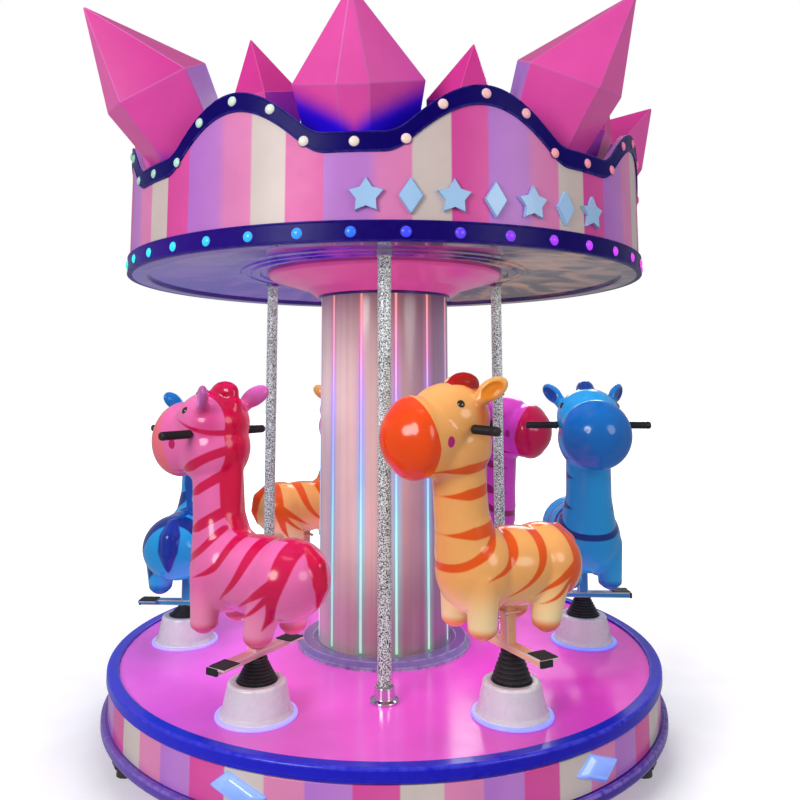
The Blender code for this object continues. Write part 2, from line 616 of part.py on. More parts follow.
def build():
    """Makes every named object."""
    for obj in list(bpy.data.objects):
        bpy.data.objects.remove(obj)

    paint(link("base_frame", base_frame()), "#3A3A40", 0.5, 0.6)
    paint(link("base_skirt", base_skirt()), "#D98FB4", 0.3)
    paint(link("base_ring", base_ring()), "#5A3A9A", 0.3)

    turntable = link("turntable_axis", None)
    paint(link("deck_panel", deck_panel(), turntable), "#D63FBF", 0.15)
    paint(link("deck_rim", deck_rim(), turntable), "#3A34C0", 0.25)
    paint(link("column", column(), turntable), "#D6A8AA", 0.2)
    paint(link("column_foot_ring", column_foot_ring(), turntable), "#5A3AB0", 0.25)
    paint(link("column_capital", column_capital(), turntable), "#E85AA8", 0.25)
    pole_shape = pole()
    for place, azimuth in POLE_AZIMUTHS.items():
        paint(link("pole_" + place, pole_shape, turntable, polar(azimuth, POLE_CIRCLE_R, 0.0)), "#C9D2C4", 0.1)
    paint(link("ceiling_panel", ceiling_panel(), turntable), "#8A6FC0", 0.2)
    paint(link("canopy_band", canopy_band(), turntable), "#2A1080", 0.3)
    paint(link("crown_wall", crown_wall(), turntable), "#D98FB4", 0.3)
    paint(link("crown_trim", crown_trim(), turntable), "#1E0A6A", 0.3)
    paint(link("roof_panel", roof_panel(), turntable), "#5A3AC8", 0.35)

    crystal_shapes = [crystal_mesh(kind + "_crystal", CRYSTAL_SHAPES[kind]) for kind in CRYSTAL_ORDER]
    for number in range(SCALLOPS):
        azimuth = SCALLOP_AZIMUTH + 360.0 * number / SCALLOPS
        shape = crystal_shapes[number % len(crystal_shapes)]
        paint(link("crystal_%d" % (number + 1), shape, turntable, rotation=azimuth), "#E0469E", 0.25)

    cone_shape = lift_cone()
    animal_shape = animal()
    footrest_shape = footrest()
    handlebar_shape = handlebar()
    for number, rider in RIDERS.items():
        azimuth, lift = rider["azimuth"], rider["lift"]
        facing = azimuth - 90.0 - RIDER_TOE_IN
        spot = polar(azimuth, RIDER_CIRCLE_R, DECK_TOP)
        paint(link("lift_cone_%d" % number, cone_shape, turntable, spot, facing), "#E8E4EA", 0.3)
        paint(link("bellows_%d" % number, bellows(lift), turntable, spot, facing), "#141416", 0.6)
        axis = link("rider_axis_%d" % number, None, turntable,
                    spot + Vector((0, 0, BAR_TOP_LOWEST + lift)), facing)
        paint(link("animal_%d" % number, animal_shape, axis), rider["coat"], 0.2)
        paint(link("handlebar_%d" % number, handlebar_shape, axis), "#101012", 0.55)
        paint(link("footrest_%d" % number, footrest_shape, axis), rider["coat"], 0.35)


build()
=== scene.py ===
"""Looks of the small carousel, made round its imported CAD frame.

The pieces are made again from the frame's own sizes, finer than its solids, and each gets the finish of
the real one: sprayed gel coat, clear acrylic, moulded rubber, chrome and lit lamps. Metres, +Z up.
"""
import math

import bmesh
import bpy
import numpy as np
from mathutils import Matrix, Vector
from mathutils.bvhtree import BVHTree


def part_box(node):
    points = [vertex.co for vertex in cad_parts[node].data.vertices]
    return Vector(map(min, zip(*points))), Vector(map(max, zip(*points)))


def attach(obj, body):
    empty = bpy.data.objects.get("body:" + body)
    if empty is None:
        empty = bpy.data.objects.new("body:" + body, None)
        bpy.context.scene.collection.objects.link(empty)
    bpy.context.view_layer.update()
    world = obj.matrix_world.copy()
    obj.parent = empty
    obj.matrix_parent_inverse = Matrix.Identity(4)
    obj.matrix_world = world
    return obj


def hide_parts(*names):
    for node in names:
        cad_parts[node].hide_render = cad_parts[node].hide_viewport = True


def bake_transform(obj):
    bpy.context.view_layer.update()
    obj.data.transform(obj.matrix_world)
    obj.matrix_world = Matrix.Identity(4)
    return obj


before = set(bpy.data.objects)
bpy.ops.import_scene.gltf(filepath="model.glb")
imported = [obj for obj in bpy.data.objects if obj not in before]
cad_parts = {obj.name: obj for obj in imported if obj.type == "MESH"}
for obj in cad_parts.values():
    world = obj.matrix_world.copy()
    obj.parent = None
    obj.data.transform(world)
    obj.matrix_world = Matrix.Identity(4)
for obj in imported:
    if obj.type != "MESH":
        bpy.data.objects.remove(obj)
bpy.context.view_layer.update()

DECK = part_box("deck_panel")[1].z
ROOF = DECK + 1.853
LINE_TOP = DECK + 1.45
ROUND_SIDES = 256
SMALL_SIDES = 64
CLOSE = 0.00001
SKIRT_R = 1.090

# Places round the axis, in degrees: the crown's first valley, the light lines, the poles and the gems
CROWN_TURN, CROWN_STEP = -95.0, 45.0
LINE_TURN, LINE_STEP, LINE_HALF = -80.0, 30.0, 1.45
POLE_AZIMUTHS, POLE_CIRCLE_R = (150.0, -90.0, 30.0), 0.620
GEM_TURN, GEM_STEP = -53.0, 60.0

# Riders: azimuth, height of the footrest bar's top above its lowest place at rest, and coat
RIDERS = {1: (-120.0, 0.050, "pink"), 2: (-60.0, 0.080, "orange"), 3: (0.0, 0.053, "blue"),
          4: (60.0, 0.010, "magenta"), 5: (120.0, 0.044, "orange"), 6: (180.0, 0.015, "blue")}
RIDER_CIRCLE_R = 0.837
RIDER_TOE_IN = 3.0
BAR_TOP_LOWEST = 0.150
GRIP_PLACE = (0.215, 0.704)

# The animal's skin: balls of (centre, radii), and round limbs through (x, y, z, radius)
BODY_BALLS = [((-0.010, 0, 0.245), (0.205, 0.138, 0.128)), ((-0.130, 0, 0.245), (0.135, 0.142, 0.130)),
              ((0.135, 0, 0.250), (0.135, 0.132, 0.145)), ((0.220, 0, 0.650), (0.132, 0.122, 0.130)),
              ((0.232, 0, 0.735), (0.138, 0.126, 0.116)), ((0.370, 0, 0.675), (0.088, 0.135, 0.135)),
              ((0.175, 0, 0.845), (0.060, 0.036, 0.040))]
BODY_LIMBS = [[(0.165, 0, 0.300, 0.110), (0.188, 0, 0.420, 0.090), (0.198, 0, 0.560, 0.088)],
              [(0.275, 0, 0.682, 0.122), (0.345, 0, 0.675, 0.130)],
              [(0.138, 0, 0.800, 0.036), (0.125, 0, 0.640, 0.034), (0.127, 0, 0.430, 0.032)],
              [(-0.198, 0, 0.345, 0.024), (-0.240, 0, 0.300, 0.034), (-0.248, 0, 0.240, 0.034),
               (-0.238, 0, 0.185, 0.018)]]
SIDE_LIMBS = [[(0.166, 0.080, 0.095, 0.047), (0.162, 0.078, 0.230, 0.056)],
              [(-0.078, 0.086, 0.092, 0.049), (-0.110, 0.078, 0.220, 0.064)],
              [(0.184, 0.092, 0.785, 0.026), (0.160, 0.120, 0.815, 0.022)]]
HOOVES = ((0.166, 0.080, 0.095), (-0.078, 0.086, 0.092))
EAR_CENTRE = (0.151, 0.129, 0.828)
EAR_RADII = (0.060, 0.036, 0.020)
EYE_PLACE = (0.256, 0.784)
CHEEK_PLACE = (0.301, 0.668)

# Painted stripes on the animal's side, as paths of (forward, height, half width), and round its neck
SIDE_STRIPES = [
    [(0.105, 0.392, 0.010), (0.120, 0.372, 0.013), (0.154, 0.327, 0.015), (0.212, 0.291, 0.012),
     (0.254, 0.270, 0.013), (0.310, 0.262, 0.013)],
    [(0.046, 0.400, 0.021), (0.057, 0.318, 0.018), (0.092, 0.267, 0.011), (0.175, 0.237, 0.001)],
    [(-0.058, 0.400, 0.025), (-0.050, 0.307, 0.018), (-0.012, 0.236, 0.010), (0.080, 0.172, 0.001)],
    [(-0.180, 0.400, 0.030), (-0.190, 0.300, 0.030), (-0.178, 0.240, 0.024), (-0.150, 0.160, 0.011),
     (-0.122, 0.112, 0.001)],
    [(-0.181, 0.262, 0.022), (-0.099, 0.214, 0.010), (-0.015, 0.168, 0.001)],
    [(-0.150, 0.215, 0.010), (-0.098, 0.168, 0.007), (-0.040, 0.140, 0.001)]]
FACE_STRIPE = [(0.090, 0.707, 0.011), (0.170, 0.709, 0.008), (0.290, 0.754, 0.001)]
NECK_STRIPES = ((0.570, 0.016), (0.490, 0.018), (0.370, 0.019))
NECK_AXIS = ((0.300, 0.420, 0.560, 0.650, 0.735), (0.165, 0.188, 0.198, 0.220, 0.232))

# Each coat: how far its neck stripes lean and wrap round, its body's and its steel's colour, and its paint
# layers' colours in the order in which they are laid on, each with the softness of its edge in millimetres
# The layer round the nape, behind the ears, is painted shade: a darker colour where the head shades the neck.
LAYERS = {"belly": 75.0, "ear": 8.0, "nape_shade": 28.0, "stripe": 3.0, "hoof": 14.0, "mane": 2.5, "tail": 4.0,
          "tuft": 1.6, "lining": 2.0, "cheek": 0.7, "snout": 0.7}
COATS = {name: dict(zip(["body", "steel", *LAYERS], colours.split()), lean=lean, wrap=wrap)
         for name, lean, wrap, colours in (
             ("orange", 0.35, 0.30, "#F6AE62 #F4BC90 #FADCA4 #F8B460 #E06808 #EA5604 #F48C50 #F07018 #EC4404 "
                                    "#A01404 #F08A18 #C01078 #F84C00"),
             ("pink", 1.0, 0.15, "#EC6CAC #F0A8B4 #F890B8 #C458A8 #E04890 #D00A4C #EC6088 #D40444 #D40444 "
                                 "#C40444 #D080C8 #C01060 #F07080"),
             ("blue", 0.6, -0.15, "#1C98DC #3098D4 #2CA8E8 #1074C4 #1478C8 #042C80 #1068B8 #0444A0 #04309C "
                                  "#083C90 #0848A0 #8040B0 #0468BC"),
             ("magenta", 0.7, 0.10, "#D040C0 #C860B8 #E068CC #C038A0 #A830B0 #8C0460 #B83090 #A00448 #A00448 "
                                    "#880438 #D870CC #A00C80 #B80448"))}


def linear(code):
    """An sRGB hex colour as linear RGBA."""
    channels = [int(code[i:i + 2], 16) / 255 for i in (1, 3, 5)]
    return [c / 12.92 if c <= 0.04045 else ((c + 0.055) / 1.055) ** 2.4 for c in channels] + [1.0]


def polar(azimuth, radius, height):
    """A point at an azimuth in degrees, a radius and a height."""
    angle = math.radians(azimuth)
    return Vector((radius * math.cos(angle), radius * math.sin(angle), height))


def reach(node):
    """Inner radius, outer radius, bottom and top of a CAD node that is round about the axis."""
    points = np.array([vert.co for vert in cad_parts[node].data.vertices])
    radii = np.hypot(points[:, 0], points[:, 1])
    return float(radii.min()), float(radii.max()), float(points[:, 2].min()), float(points[:, 2].max())


def add_node(tree, kind, inputs=None, stops=(), **settings):
    """Adds a node and gives its outputs.

    Settings are its properties, inputs its sockets' values or links, and stops a ramp's colours.
    """
    node = tree.nodes.new(kind)
    for key, value in settings.items():
        setattr(node, key, value)
    for key, value in (inputs or {}).items():
        if isinstance(value, bpy.types.NodeSocket):
            tree.links.new(value, node.inputs[key])
        else:
            node.inputs[key].default_value = linear(value) if isinstance(value, str) and value[0] == "#" else value
    if stops:
        ramp = node.color_ramp
        ramp.elements.remove(ramp.elements[1])
        ramp.elements[0].position = stops[0][0]
        ramp.elements[0].color = linear(stops[0][1])
        for position, code in stops[1:]:
            ramp.elements.new(position).color = linear(code)
    return node.outputs


def along(axis, low, high, stops):
    """A colour that runs along an axis of the object from low to high, in metres."""
    def colour(tree, place):
        parts = add_node(tree, "ShaderNodeSeparateXYZ", {"Vector": place})
        share = add_node(tree, "ShaderNodeMapRange", {"Value": parts[axis], "From Min": low, "From Max": high})
        return add_node(tree, "ShaderNodeValToRGB", {"Fac": share[0]}, stops)["Color"]
    return colour


def striped(stops):
    """Upright stripes that repeat with each whole step of the piece's own stripe map."""
    def colour(tree, place):
        spread = add_node(tree, "ShaderNodeUVMap", uv_map="stripes")
        parts = add_node(tree, "ShaderNodeSeparateXYZ", {"Vector": spread["UV"]})
        share = add_node(tree, "ShaderNodeMath", {0: parts["X"]}, operation="FRACT")
        return add_node(tree, "ShaderNodeValToRGB", {"Fac": share[0]}, stops)["Color"]
    return colour


def speckled(size, stops):
    """A colour that changes from speck to speck, each about size millimetres wide."""
    def colour(tree, place):
        speck = add_node(tree, "ShaderNodeTexNoise", {"Vector": place, "Scale": 1000 / size, "Detail": 0.0})
        return add_node(tree, "ShaderNodeValToRGB", {"Fac": speck[0]}, stops)["Color"]
    return colour


def painted_reflections(size, dark, light):
    """Painted reflections: two runs of colour along X that lie beside each other in soft patches about size
    millimetres wide.
    """
    def colour(tree, place):
        patch = add_node(tree, "ShaderNodeTexNoise", {"Vector": place, "Scale": 1000 / size, "Detail": 3.0,
                                                      "Distortion": 1.2})
        share = add_node(tree, "ShaderNodeMapRange", {"Value": patch[0], "From Min": 0.40, "From Max": 0.64},
                         interpolation_type="SMOOTHSTEP")
        runs = [along("X", -1.05, 1.05, stops)(tree, place) for stops in (dark, light)]
        return add_node(tree, "ShaderNodeMix", {0: share[0], 6: runs[0], 7: runs[1]}, data_type="RGBA")[2]
    return colour


def pearl_and_painted_light(stops):
    """The column's pearl: painted shade across it, lighter at the left, upright streaks 16 mm wide, and painted light
    spilt beside each light line.
    """
    def colour(tree, place):
        # Painted shade: the pearl is lighter at the left and darker towards the right.
        base = along("X", -0.275, 0.275, stops)(tree, place)
        stretched = add_node(tree, "ShaderNodeMapping", {"Vector": place, "Scale": (1000 / 16, 1000 / 16, 0.5)})
        streak = add_node(tree, "ShaderNodeTexNoise", {"Vector": stretched[0], "Scale": 1.0, "Detail": 2.0})
        shade = add_node(tree, "ShaderNodeValToRGB", {"Fac": streak[0]}, [(0.3, "#E2DEEA"), (0.62, "#FFFFFF")])
        base = add_node(tree, "ShaderNodeMix", {0: 0.4, 6: base, 7: shade["Color"]}, data_type="RGBA",
                        blend_type="MULTIPLY")[2]
        # Painted light: the light lines' colour laid on the pearl beside each groove.
        spread = add_node(tree, "ShaderNodeUVMap", uv_map="stripes")
        count = add_node(tree, "ShaderNodeSeparateXYZ", {"Vector": spread["UV"]})["X"]
        off = add_node(tree, "ShaderNodeMath", {0: count, 1: 0.5}, operation="PINGPONG")
        spill = add_node(tree, "ShaderNodeMapRange", {"Value": off[0], "From Min": 0.24, "From Max": 0.02,
                                                      "To Max": 0.75}, interpolation_type="SMOOTHSTEP")
        light = along("Z", DECK, LINE_TOP, LINE_COLOURS)(tree, place)
        return add_node(tree, "ShaderNodeMix", {0: spill[0], 6: base, 7: light}, data_type="RGBA")[2]
    return colour


def faceted(facet_lights):
    """A crystal's colours: painted light and shade for each kind of facet and on one flank, and a blue foot that
    climbs at the flanks.
    """
    def colour(tree, place):
        kind, level, across = (add_node(tree, "ShaderNodeAttribute", attribute_name=name)["Fac"]
                               for name in ("facet_light", "level", "across"))
        facet_light = add_node(tree, "ShaderNodeValToRGB", {"Fac": kind}, facet_lights)["Color"]
        climb = add_node(tree, "ShaderNodeMath", {0: across}, operation="ABSOLUTE")
        under = add_node(tree, "ShaderNodeMath", {0: climb[0], 1: level}, operation="SUBTRACT")
        deep = add_node(tree, "ShaderNodeMapRange",
                        {"Value": under[0], "From Min": -0.050, "From Max": 0.040},
                        interpolation_type="SMOOTHSTEP")[0]
        # Painted shade: one flank of each crystal turns purple.
        shaded = add_node(tree, "ShaderNodeMapRange", {"Value": across, "From Max": 0.9})[0]
        facet_light = add_node(tree, "ShaderNodeMix", {0: shaded, 6: facet_light, 7: "#A81CC8"}, data_type="RGBA")[2]
        blue = add_node(tree, "ShaderNodeValToRGB", {"Fac": deep},
                        [(0.0, "#C838B8"), (0.45, "#8420D0"), (0.9, "#2408E4")])
        return add_node(tree, "ShaderNodeMix", {0: deep, 6: facet_light, 7: blue["Color"]}, data_type="RGBA")[2]
    return colour


def painted(coat):
    """The animal's painted coat: each layer covers the one below where its mark is above zero."""
    def colour(tree, place):
        base = linear(coat["body"])
        for layer, softness in LAYERS.items():
            cover = add_node(tree, "ShaderNodeAttribute", attribute_name=layer)
            share = add_node(tree, "ShaderNodeMapRange",
                             {"Value": cover["Fac"], "From Min": -softness, "From Max": softness},
                             interpolation_type="SMOOTHSTEP")
            base = add_node(tree, "ShaderNodeMix", {0: share[0], 6: base, 7: coat[layer]}, data_type="RGBA")[2]
        return base
    return colour


def finish(name, colour, roughness, grain=(9.0, 0.02), wear=None, glow=0.0, **surface):
    """A material from a colour, its roughness, its grain's width and depth in millimetres and its worn edges.

    The colour is a hex value or a function that adds its nodes; surface holds the shader's constants.
    """
    material = bpy.data.materials.new(name)
    material.use_nodes = True
    tree = material.node_tree
    tree.nodes.clear()
    place = add_node(tree, "ShaderNodeTexCoord")["Object"]
    paint = colour(tree, place) if callable(colour) else colour
    # The paint clouds over about 140 mm, edges rub through over 25 mm, and smudges are 60 mm wide
    cloud = add_node(tree, "ShaderNodeTexNoise", {"Vector": place, "Scale": 1000 / 140, "Detail": 3.0})
    shade = add_node(tree, "ShaderNodeValToRGB", {"Fac": cloud[0]}, [(0.3, "#F5F5F5"), (0.7, "#FFFFFF")])
    paint = add_node(tree, "ShaderNodeMix", {0: 1.0, 6: paint, 7: shade["Color"]},
                     data_type="RGBA", blend_type="MULTIPLY")[2]
    if wear:
        edge = add_node(tree, "ShaderNodeAttribute", attribute_name="edge")
        rub = add_node(tree, "ShaderNodeTexNoise", {"Vector": place, "Scale": 1000 / 25, "Detail": 2.0})
        share = add_node(tree, "ShaderNodeMapRange", {"Value": rub[0], "From Min": 0.25, "From Max": 0.6})
        worn = add_node(tree, "ShaderNodeMath", {0: edge["Fac"], 1: share[0]}, operation="MULTIPLY")
        paint = add_node(tree, "ShaderNodeMix", {0: worn[0], 6: paint, 7: wear}, data_type="RGBA")[2]
    smudge = add_node(tree, "ShaderNodeTexNoise", {"Vector": place, "Scale": 1000 / 60, "Detail": 4.0})
    rough = add_node(tree, "ShaderNodeMapRange", {"Value": smudge[0], "From Min": 0.3, "From Max": 0.7,
                                                  "To Min": max(0.02, roughness - 0.03), "To Max": roughness + 0.04})
    height = add_node(tree, "ShaderNodeTexNoise", {"Vector": place, "Scale": 1000 / grain[0], "Detail": 2.0})
    bump = add_node(tree, "ShaderNodeBump", {"Height": height[0], "Strength": 1.0, "Distance": grain[1] / 1000})
    inputs = {"Base Color": paint, "Roughness": rough["Result"], "Normal": bump["Normal"]}
    if glow:
        inputs.update({"Emission Color": paint, "Emission Strength": glow})
    inputs.update({key.replace("_", " "): value for key, value in surface.items()})
    shader = add_node(tree, "ShaderNodeBsdfPrincipled", inputs)
    add_node(tree, "ShaderNodeOutputMaterial", {"Surface": shader[0]})
    return material


def closed_mesh(bm):
    """A mesh from bm with doubles merged and faces pointing out."""
    bmesh.ops.remove_doubles(bm, verts=bm.verts, dist=CLOSE)
    bmesh.ops.recalc_face_normals(bm, faces=bm.faces)
    mesh = bpy.data.meshes.new("shape")
    bm.to_mesh(mesh)
    bm.free()
    return mesh


def rounded(corners, steps=4):
    """An outline of (radius, height) points from corners of (radius, height, fillet)."""
    outline = []
    for before, corner, after in zip(corners[-1:] + corners[:-1], corners, corners[1:] + corners[:1]):
        here = Vector(corner[:2])
        if len(corner) < 3:
            outline.append(here)
            continue
        back, on = Vector(before[:2]) - here, Vector(after[:2]) - here
        half = back.angle(on) / 2
        run = min(corner[2] / math.tan(half), 0.49 * back.length, 0.49 * on.length)
        middle = (back.normalized() + on.normalized()).normalized()
        centre = here + middle * (run / math.cos(half))
        first, last = here + back.normalized() * run - centre, here + on.normalized() * run - centre
        for step in range(steps + 1):
            outline.append(centre + first.lerp(last, step / steps).normalized() * first.length)
    supported = []
    for here, after in zip(outline, outline[1:] + outline[:1]):
        supported.append(here)
        run = after - here
        if run.length > 0.012 and max(here.x, after.x) > 0.001 and min(here.x, after.x) > 0.0:
            supported += [here + run * (0.002 / run.length), after - run * (0.002 / run.length)]
    return supported


def swept(section_at, sides=ROUND_SIDES, first=0.0):
    """A ring whose outline may change with the azimuth; an outline from the axis to the axis is a solid."""
    bm = bmesh.new()
    rings = []
    for step in range(sides):
        azimuth = first + 360.0 * step / sides
        rings.append([bm.verts.new(polar(azimuth, r, z)) for r, z in section_at(azimuth)])
    spans = len(rings[0]) - (rings[0][0].co.xy.length < CLOSE)
    for ring, following in zip(rings, rings[1:] + rings[:1]):
        for corner in range(spans):
            after = (corner + 1) % len(ring)
            bm.faces.new((ring[corner], ring[after], following[after], following[corner]))
    return closed_mesh(bm)


def turned(corners, sides=ROUND_SIDES, steps=4):
    """A round shape about the axis from corners of (radius, height, fillet)."""
    outline = rounded(corners, steps)
    return swept(lambda azimuth: outline, sides)


def stacked(loops, bevel=0.0, segments=0):
    """A closed shape through loops of places, capped at both ends; its bevels get the second material."""
    bm = bmesh.new()
    rings = [[bm.verts.new(place) for place in loop] for loop in loops]
    for ring in (rings[0], rings[-1]):
        bm.faces.new(ring)
    for inner, outer in zip(rings, rings[1:]):
        for first in range(len(inner)):
            second = (first + 1) % len(inner)
            bm.faces.new((inner[first], inner[second], outer[second], outer[first]))
    if bevel:
        bmesh.ops.bevel(bm, geom=bm.edges[:], offset=bevel, segments=segments, affect="EDGES", profile=0.5,
                        material=1)
    return closed_mesh(bm)


def moved(mesh, *matrices):
    """The mesh after a chain of moves, the last one first."""
    for matrix in reversed(matrices):
        mesh.transform(matrix)
    return mesh


def joined(meshes):
    """One mesh from several; the first one's materials are kept."""
    bm = bmesh.new()
    for mesh in meshes:
        bm.from_mesh(mesh)
    whole = bpy.data.meshes.new("shape")
    bm.to_mesh(whole)
    bm.free()
    for material in meshes[0].materials:
        whole.materials.append(material)
    return whole


def add_block(bm, low, high, bevel=0.003):
    """A box between two corners with rounded edges."""
    size = Vector(high) - Vector(low)
    place = Matrix.Translation((Vector(high) + Vector(low)) / 2) @ Matrix.Diagonal((*size, 1.0))
    verts = bmesh.ops.create_cube(bm, size=1.0, matrix=place)["verts"]
    edges = list({edge for vert in verts for edge in vert.link_edges})
    bmesh.ops.bevel(bm, geom=edges, offset=bevel, segments=3, affect="EDGES", profile=0.5, material=1)


def evened(mesh):
    """The mesh with its normals weighted by face area, so that flats stay flat beside small bevels."""
    mesh.shade_smooth()
    carrier = bpy.data.objects.new("carrier", mesh)
    bpy.context.scene.collection.objects.link(carrier)
    carrier.modifiers.new("even", "WEIGHTED_NORMAL")
    depsgraph = bpy.context.evaluated_depsgraph_get()
    result = bpy.data.meshes.new_from_object(carrier.evaluated_get(depsgraph))
    bpy.data.objects.remove(carrier)
    return result


def mark(mesh, name, values, domain="POINT"):
    """Stores one number for each point or corner under a name."""
    attribute = mesh.attributes.new(name, "FLOAT", domain)
    attribute.data.foreach_set("value", np.asarray(values, np.float32))


def mark_edges(mesh, full_angle=22.0):
    """Marks how sharply the surface bends outwards at each point, for worn edges."""
    bm = bmesh.new()
    bm.from_mesh(mesh)
    bend = [max((edge.calc_face_angle_signed(0.0) for edge in vert.link_edges), default=0.0) for vert in bm.verts]
    bm.free()
    mark(mesh, "edge", np.clip(np.degrees(bend) / full_angle, 0, 1))
    return mesh


def map_stripes(mesh, anchors, repeats):
    """A UV map whose U counts the stripes' repeats round the axis; anchors pair an azimuth with a count."""
    corners = len(mesh.loops)
    points = np.array([vert.co for vert in mesh.vertices])
    azimuths = np.degrees(np.arctan2(points[:, 1], points[:, 0]))
    corner_vert = np.empty(corners, int)
    mesh.loops.foreach_get("vertex_index", corner_vert)
    middles = np.array([face.center for face in mesh.polygons])
    totals = np.array([face.loop_total for face in mesh.polygons])
    face_azimuth = np.repeat(np.degrees(np.arctan2(middles[:, 1], middles[:, 0])), totals)
    unwrapped = face_azimuth + (azimuths[corner_vert] - face_azimuth + 180) % 360 - 180
    known = [(azimuth + 360 * turn, count + repeats * turn) for turn in (-1, 0, 1) for azimuth, count in anchors]
    counts = np.interp(unwrapped, *zip(*known))
    layer = mesh.uv_layers.new(name="stripes")
    layer.data.foreach_set("uv", np.column_stack((counts, points[corner_vert, 2])).astype(np.float32).ravel())
    return mesh


def piece(name, mesh, body, *finishes, slot=None, stands_for=(), sharp=40.0, smooth=True):
    """A finished piece on a body, with its materials and the CAD nodes that it stands for."""
    obj = bpy.data.objects.new(name, mesh)
    bpy.context.scene.collection.objects.link(obj)
    for material in finishes:
        mesh.materials.append(material)
    if smooth:
        mesh.shade_smooth()
        mesh.set_sharp_from_angle(angle=math.radians(sharp))
    if body:
        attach(obj, body)
    if stands_for:
        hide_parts(*stands_for)
    return obj


# Geometry Nodes for what repeats

def new_tree(name, **sizes):
    """A Geometry Nodes tree with a geometry input and named inputs, and its input node's outputs."""
    tree = bpy.data.node_groups.new(name, "GeometryNodeTree")
    for direction in ("INPUT", "OUTPUT"):
        tree.interface.new_socket("Geometry", in_out=direction, socket_type="NodeSocketGeometry")
    for label, kind in {**sizes, "material": "Material"}.items():
        tree.interface.new_socket(label, in_out="INPUT", socket_type="NodeSocket" + kind)
    return tree, add_node(tree, "NodeGroupInput")


def close_tree(tree, given, shapes):
    """Ends a tree: the copies are made real, smooth and get their material."""
    real = add_node(tree, "GeometryNodeRealizeInstances", {"Geometry": shapes})
    smooth = add_node(tree, "GeometryNodeSetShadeSmooth", {"Geometry": real[0]})
    coated = add_node(tree, "GeometryNodeSetMaterial", {"Geometry": smooth[0], "Material": given["material"]})
    add_node(tree, "NodeGroupOutput", {"Geometry": coated[0]})
    return tree


def placed_copies(tree, given, shape, scale=None):
    """Copies of a shape on the input's points, their Z along aim and their X along lie."""
    turn = None
    for axis, pivot, name in (("Z", "AUTO", "aim"), ("X", "Z", "lie")):
        named = add_node(tree, "GeometryNodeInputNamedAttribute", {"Name": name}, data_type="FLOAT_VECTOR")
        inputs = {"Vector": named["Attribute"]}
        if turn:
            inputs["Rotation"] = turn
        turn = add_node(tree, "FunctionNodeAlignRotationToVector", inputs, axis=axis, pivot_axis=pivot)[0]
    inputs = {"Points": given["Geometry"], "Instance": shape, "Rotation": turn}
    if scale:
        inputs["Scale"] = scale
    return add_node(tree, "GeometryNodeInstanceOnPoints", inputs)[0]


def domes_tree():
    """Domes on points: lamps, screw heads, tread studs and eyes."""
    tree, given = new_tree("domes", length="Float", width="Float", rise="Float", segments="Int")
    rings = add_node(tree, "ShaderNodeMath", {0: given["segments"], 1: 0.5}, operation="MULTIPLY")
    ball = add_node(tree, "GeometryNodeMeshUVSphere", {"Segments": given["segments"], "Rings": rings[0],
                                                       "Radius": 1.0})
    size = add_node(tree, "ShaderNodeCombineXYZ", {"X": given["length"], "Y": given["width"], "Z": given["rise"]})
    return close_tree(tree, given, placed_copies(tree, given, ball["Mesh"], size[0]))


def rings_tree():
    """Round wires bent to rings on points: the ribs of the handlebar's grips and the lamps' seats."""
    tree, given = new_tree("rings", ring_radius="Float", wire_radius="Float")
    ring = add_node(tree, "GeometryNodeCurvePrimitiveCircle", {"Resolution": 24, "Radius": given["ring_radius"]})
    wire = add_node(tree, "GeometryNodeCurvePrimitiveCircle", {"Resolution": 6, "Radius": given["wire_radius"]})
    tube = add_node(tree, "GeometryNodeCurveToMesh", {"Curve": ring[0], "Profile Curve": wire[0]})
    return close_tree(tree, given, placed_copies(tree, given, tube[0]))


def light_lines_tree():
    """Upright half-round light diffusers on points, in the grooves of the column."""
    tree, given = new_tree("light_lines", length="Float", radius="Float")
    top = add_node(tree, "ShaderNodeCombineXYZ", {"Z": given["length"]})
    line = add_node(tree, "GeometryNodeCurvePrimitiveLine", {"End": top[0]})
    edge = add_node(tree, "GeometryNodeCurvePrimitiveCircle", {"Resolution": 16, "Radius": given["radius"]})
    rod = add_node(tree, "GeometryNodeCurveToMesh", {"Curve": line[0], "Profile Curve": edge[0], "Fill Caps": True})
    copies = add_node(tree, "GeometryNodeInstanceOnPoints", {"Points": given["Geometry"], "Instance": rod[0]})
    return close_tree(tree, given, copies[0])


def bubbles_tree():
    """Small bubbles scattered through a clear pole round the Z axis."""
    tree, given = new_tree("bubbles", count="Int", radius="Float", bottom="Float", top="Float",
                           smallest="Float", largest="Float", seed="Int")

    def chance(low, high, step):
        seed = add_node(tree, "ShaderNodeMath", {0: given["seed"], 1: float(step)}, operation="ADD")
        return add_node(tree, "FunctionNodeRandomValue", {2: low, 3: high, 8: seed[0]}, data_type="FLOAT")[1]

    root = add_node(tree, "ShaderNodeMath", {0: chance(0.05, 1.0, 0)}, operation="SQRT")
    out = add_node(tree, "ShaderNodeMath", {0: root[0], 1: given["radius"]}, operation="MULTIPLY")
    place = {"Z": chance(given["bottom"], given["top"], 2)}
    angle = chance(0.0, math.tau, 1)
    for axis, kind in (("X", "COSINE"), ("Y", "SINE")):
        part = add_node(tree, "ShaderNodeMath", {0: angle}, operation=kind)
        place[axis] = add_node(tree, "ShaderNodeMath", {0: out[0], 1: part[0]}, operation="MULTIPLY")[0]
    spot = add_node(tree, "ShaderNodeCombineXYZ", place)
    points = add_node(tree, "GeometryNodePoints", {"Count": given["count"], "Position": spot[0]})
    ball = add_node(tree, "GeometryNodeMeshIcoSphere", {"Radius": 1.0, "Subdivisions": 1})
    copies = add_node(tree, "GeometryNodeInstanceOnPoints",
                      {"Points": points[0], "Instance": ball["Mesh"],
                       "Scale": chance(given["smallest"], given["largest"], 3)})
    return close_tree(tree, given, copies[0])


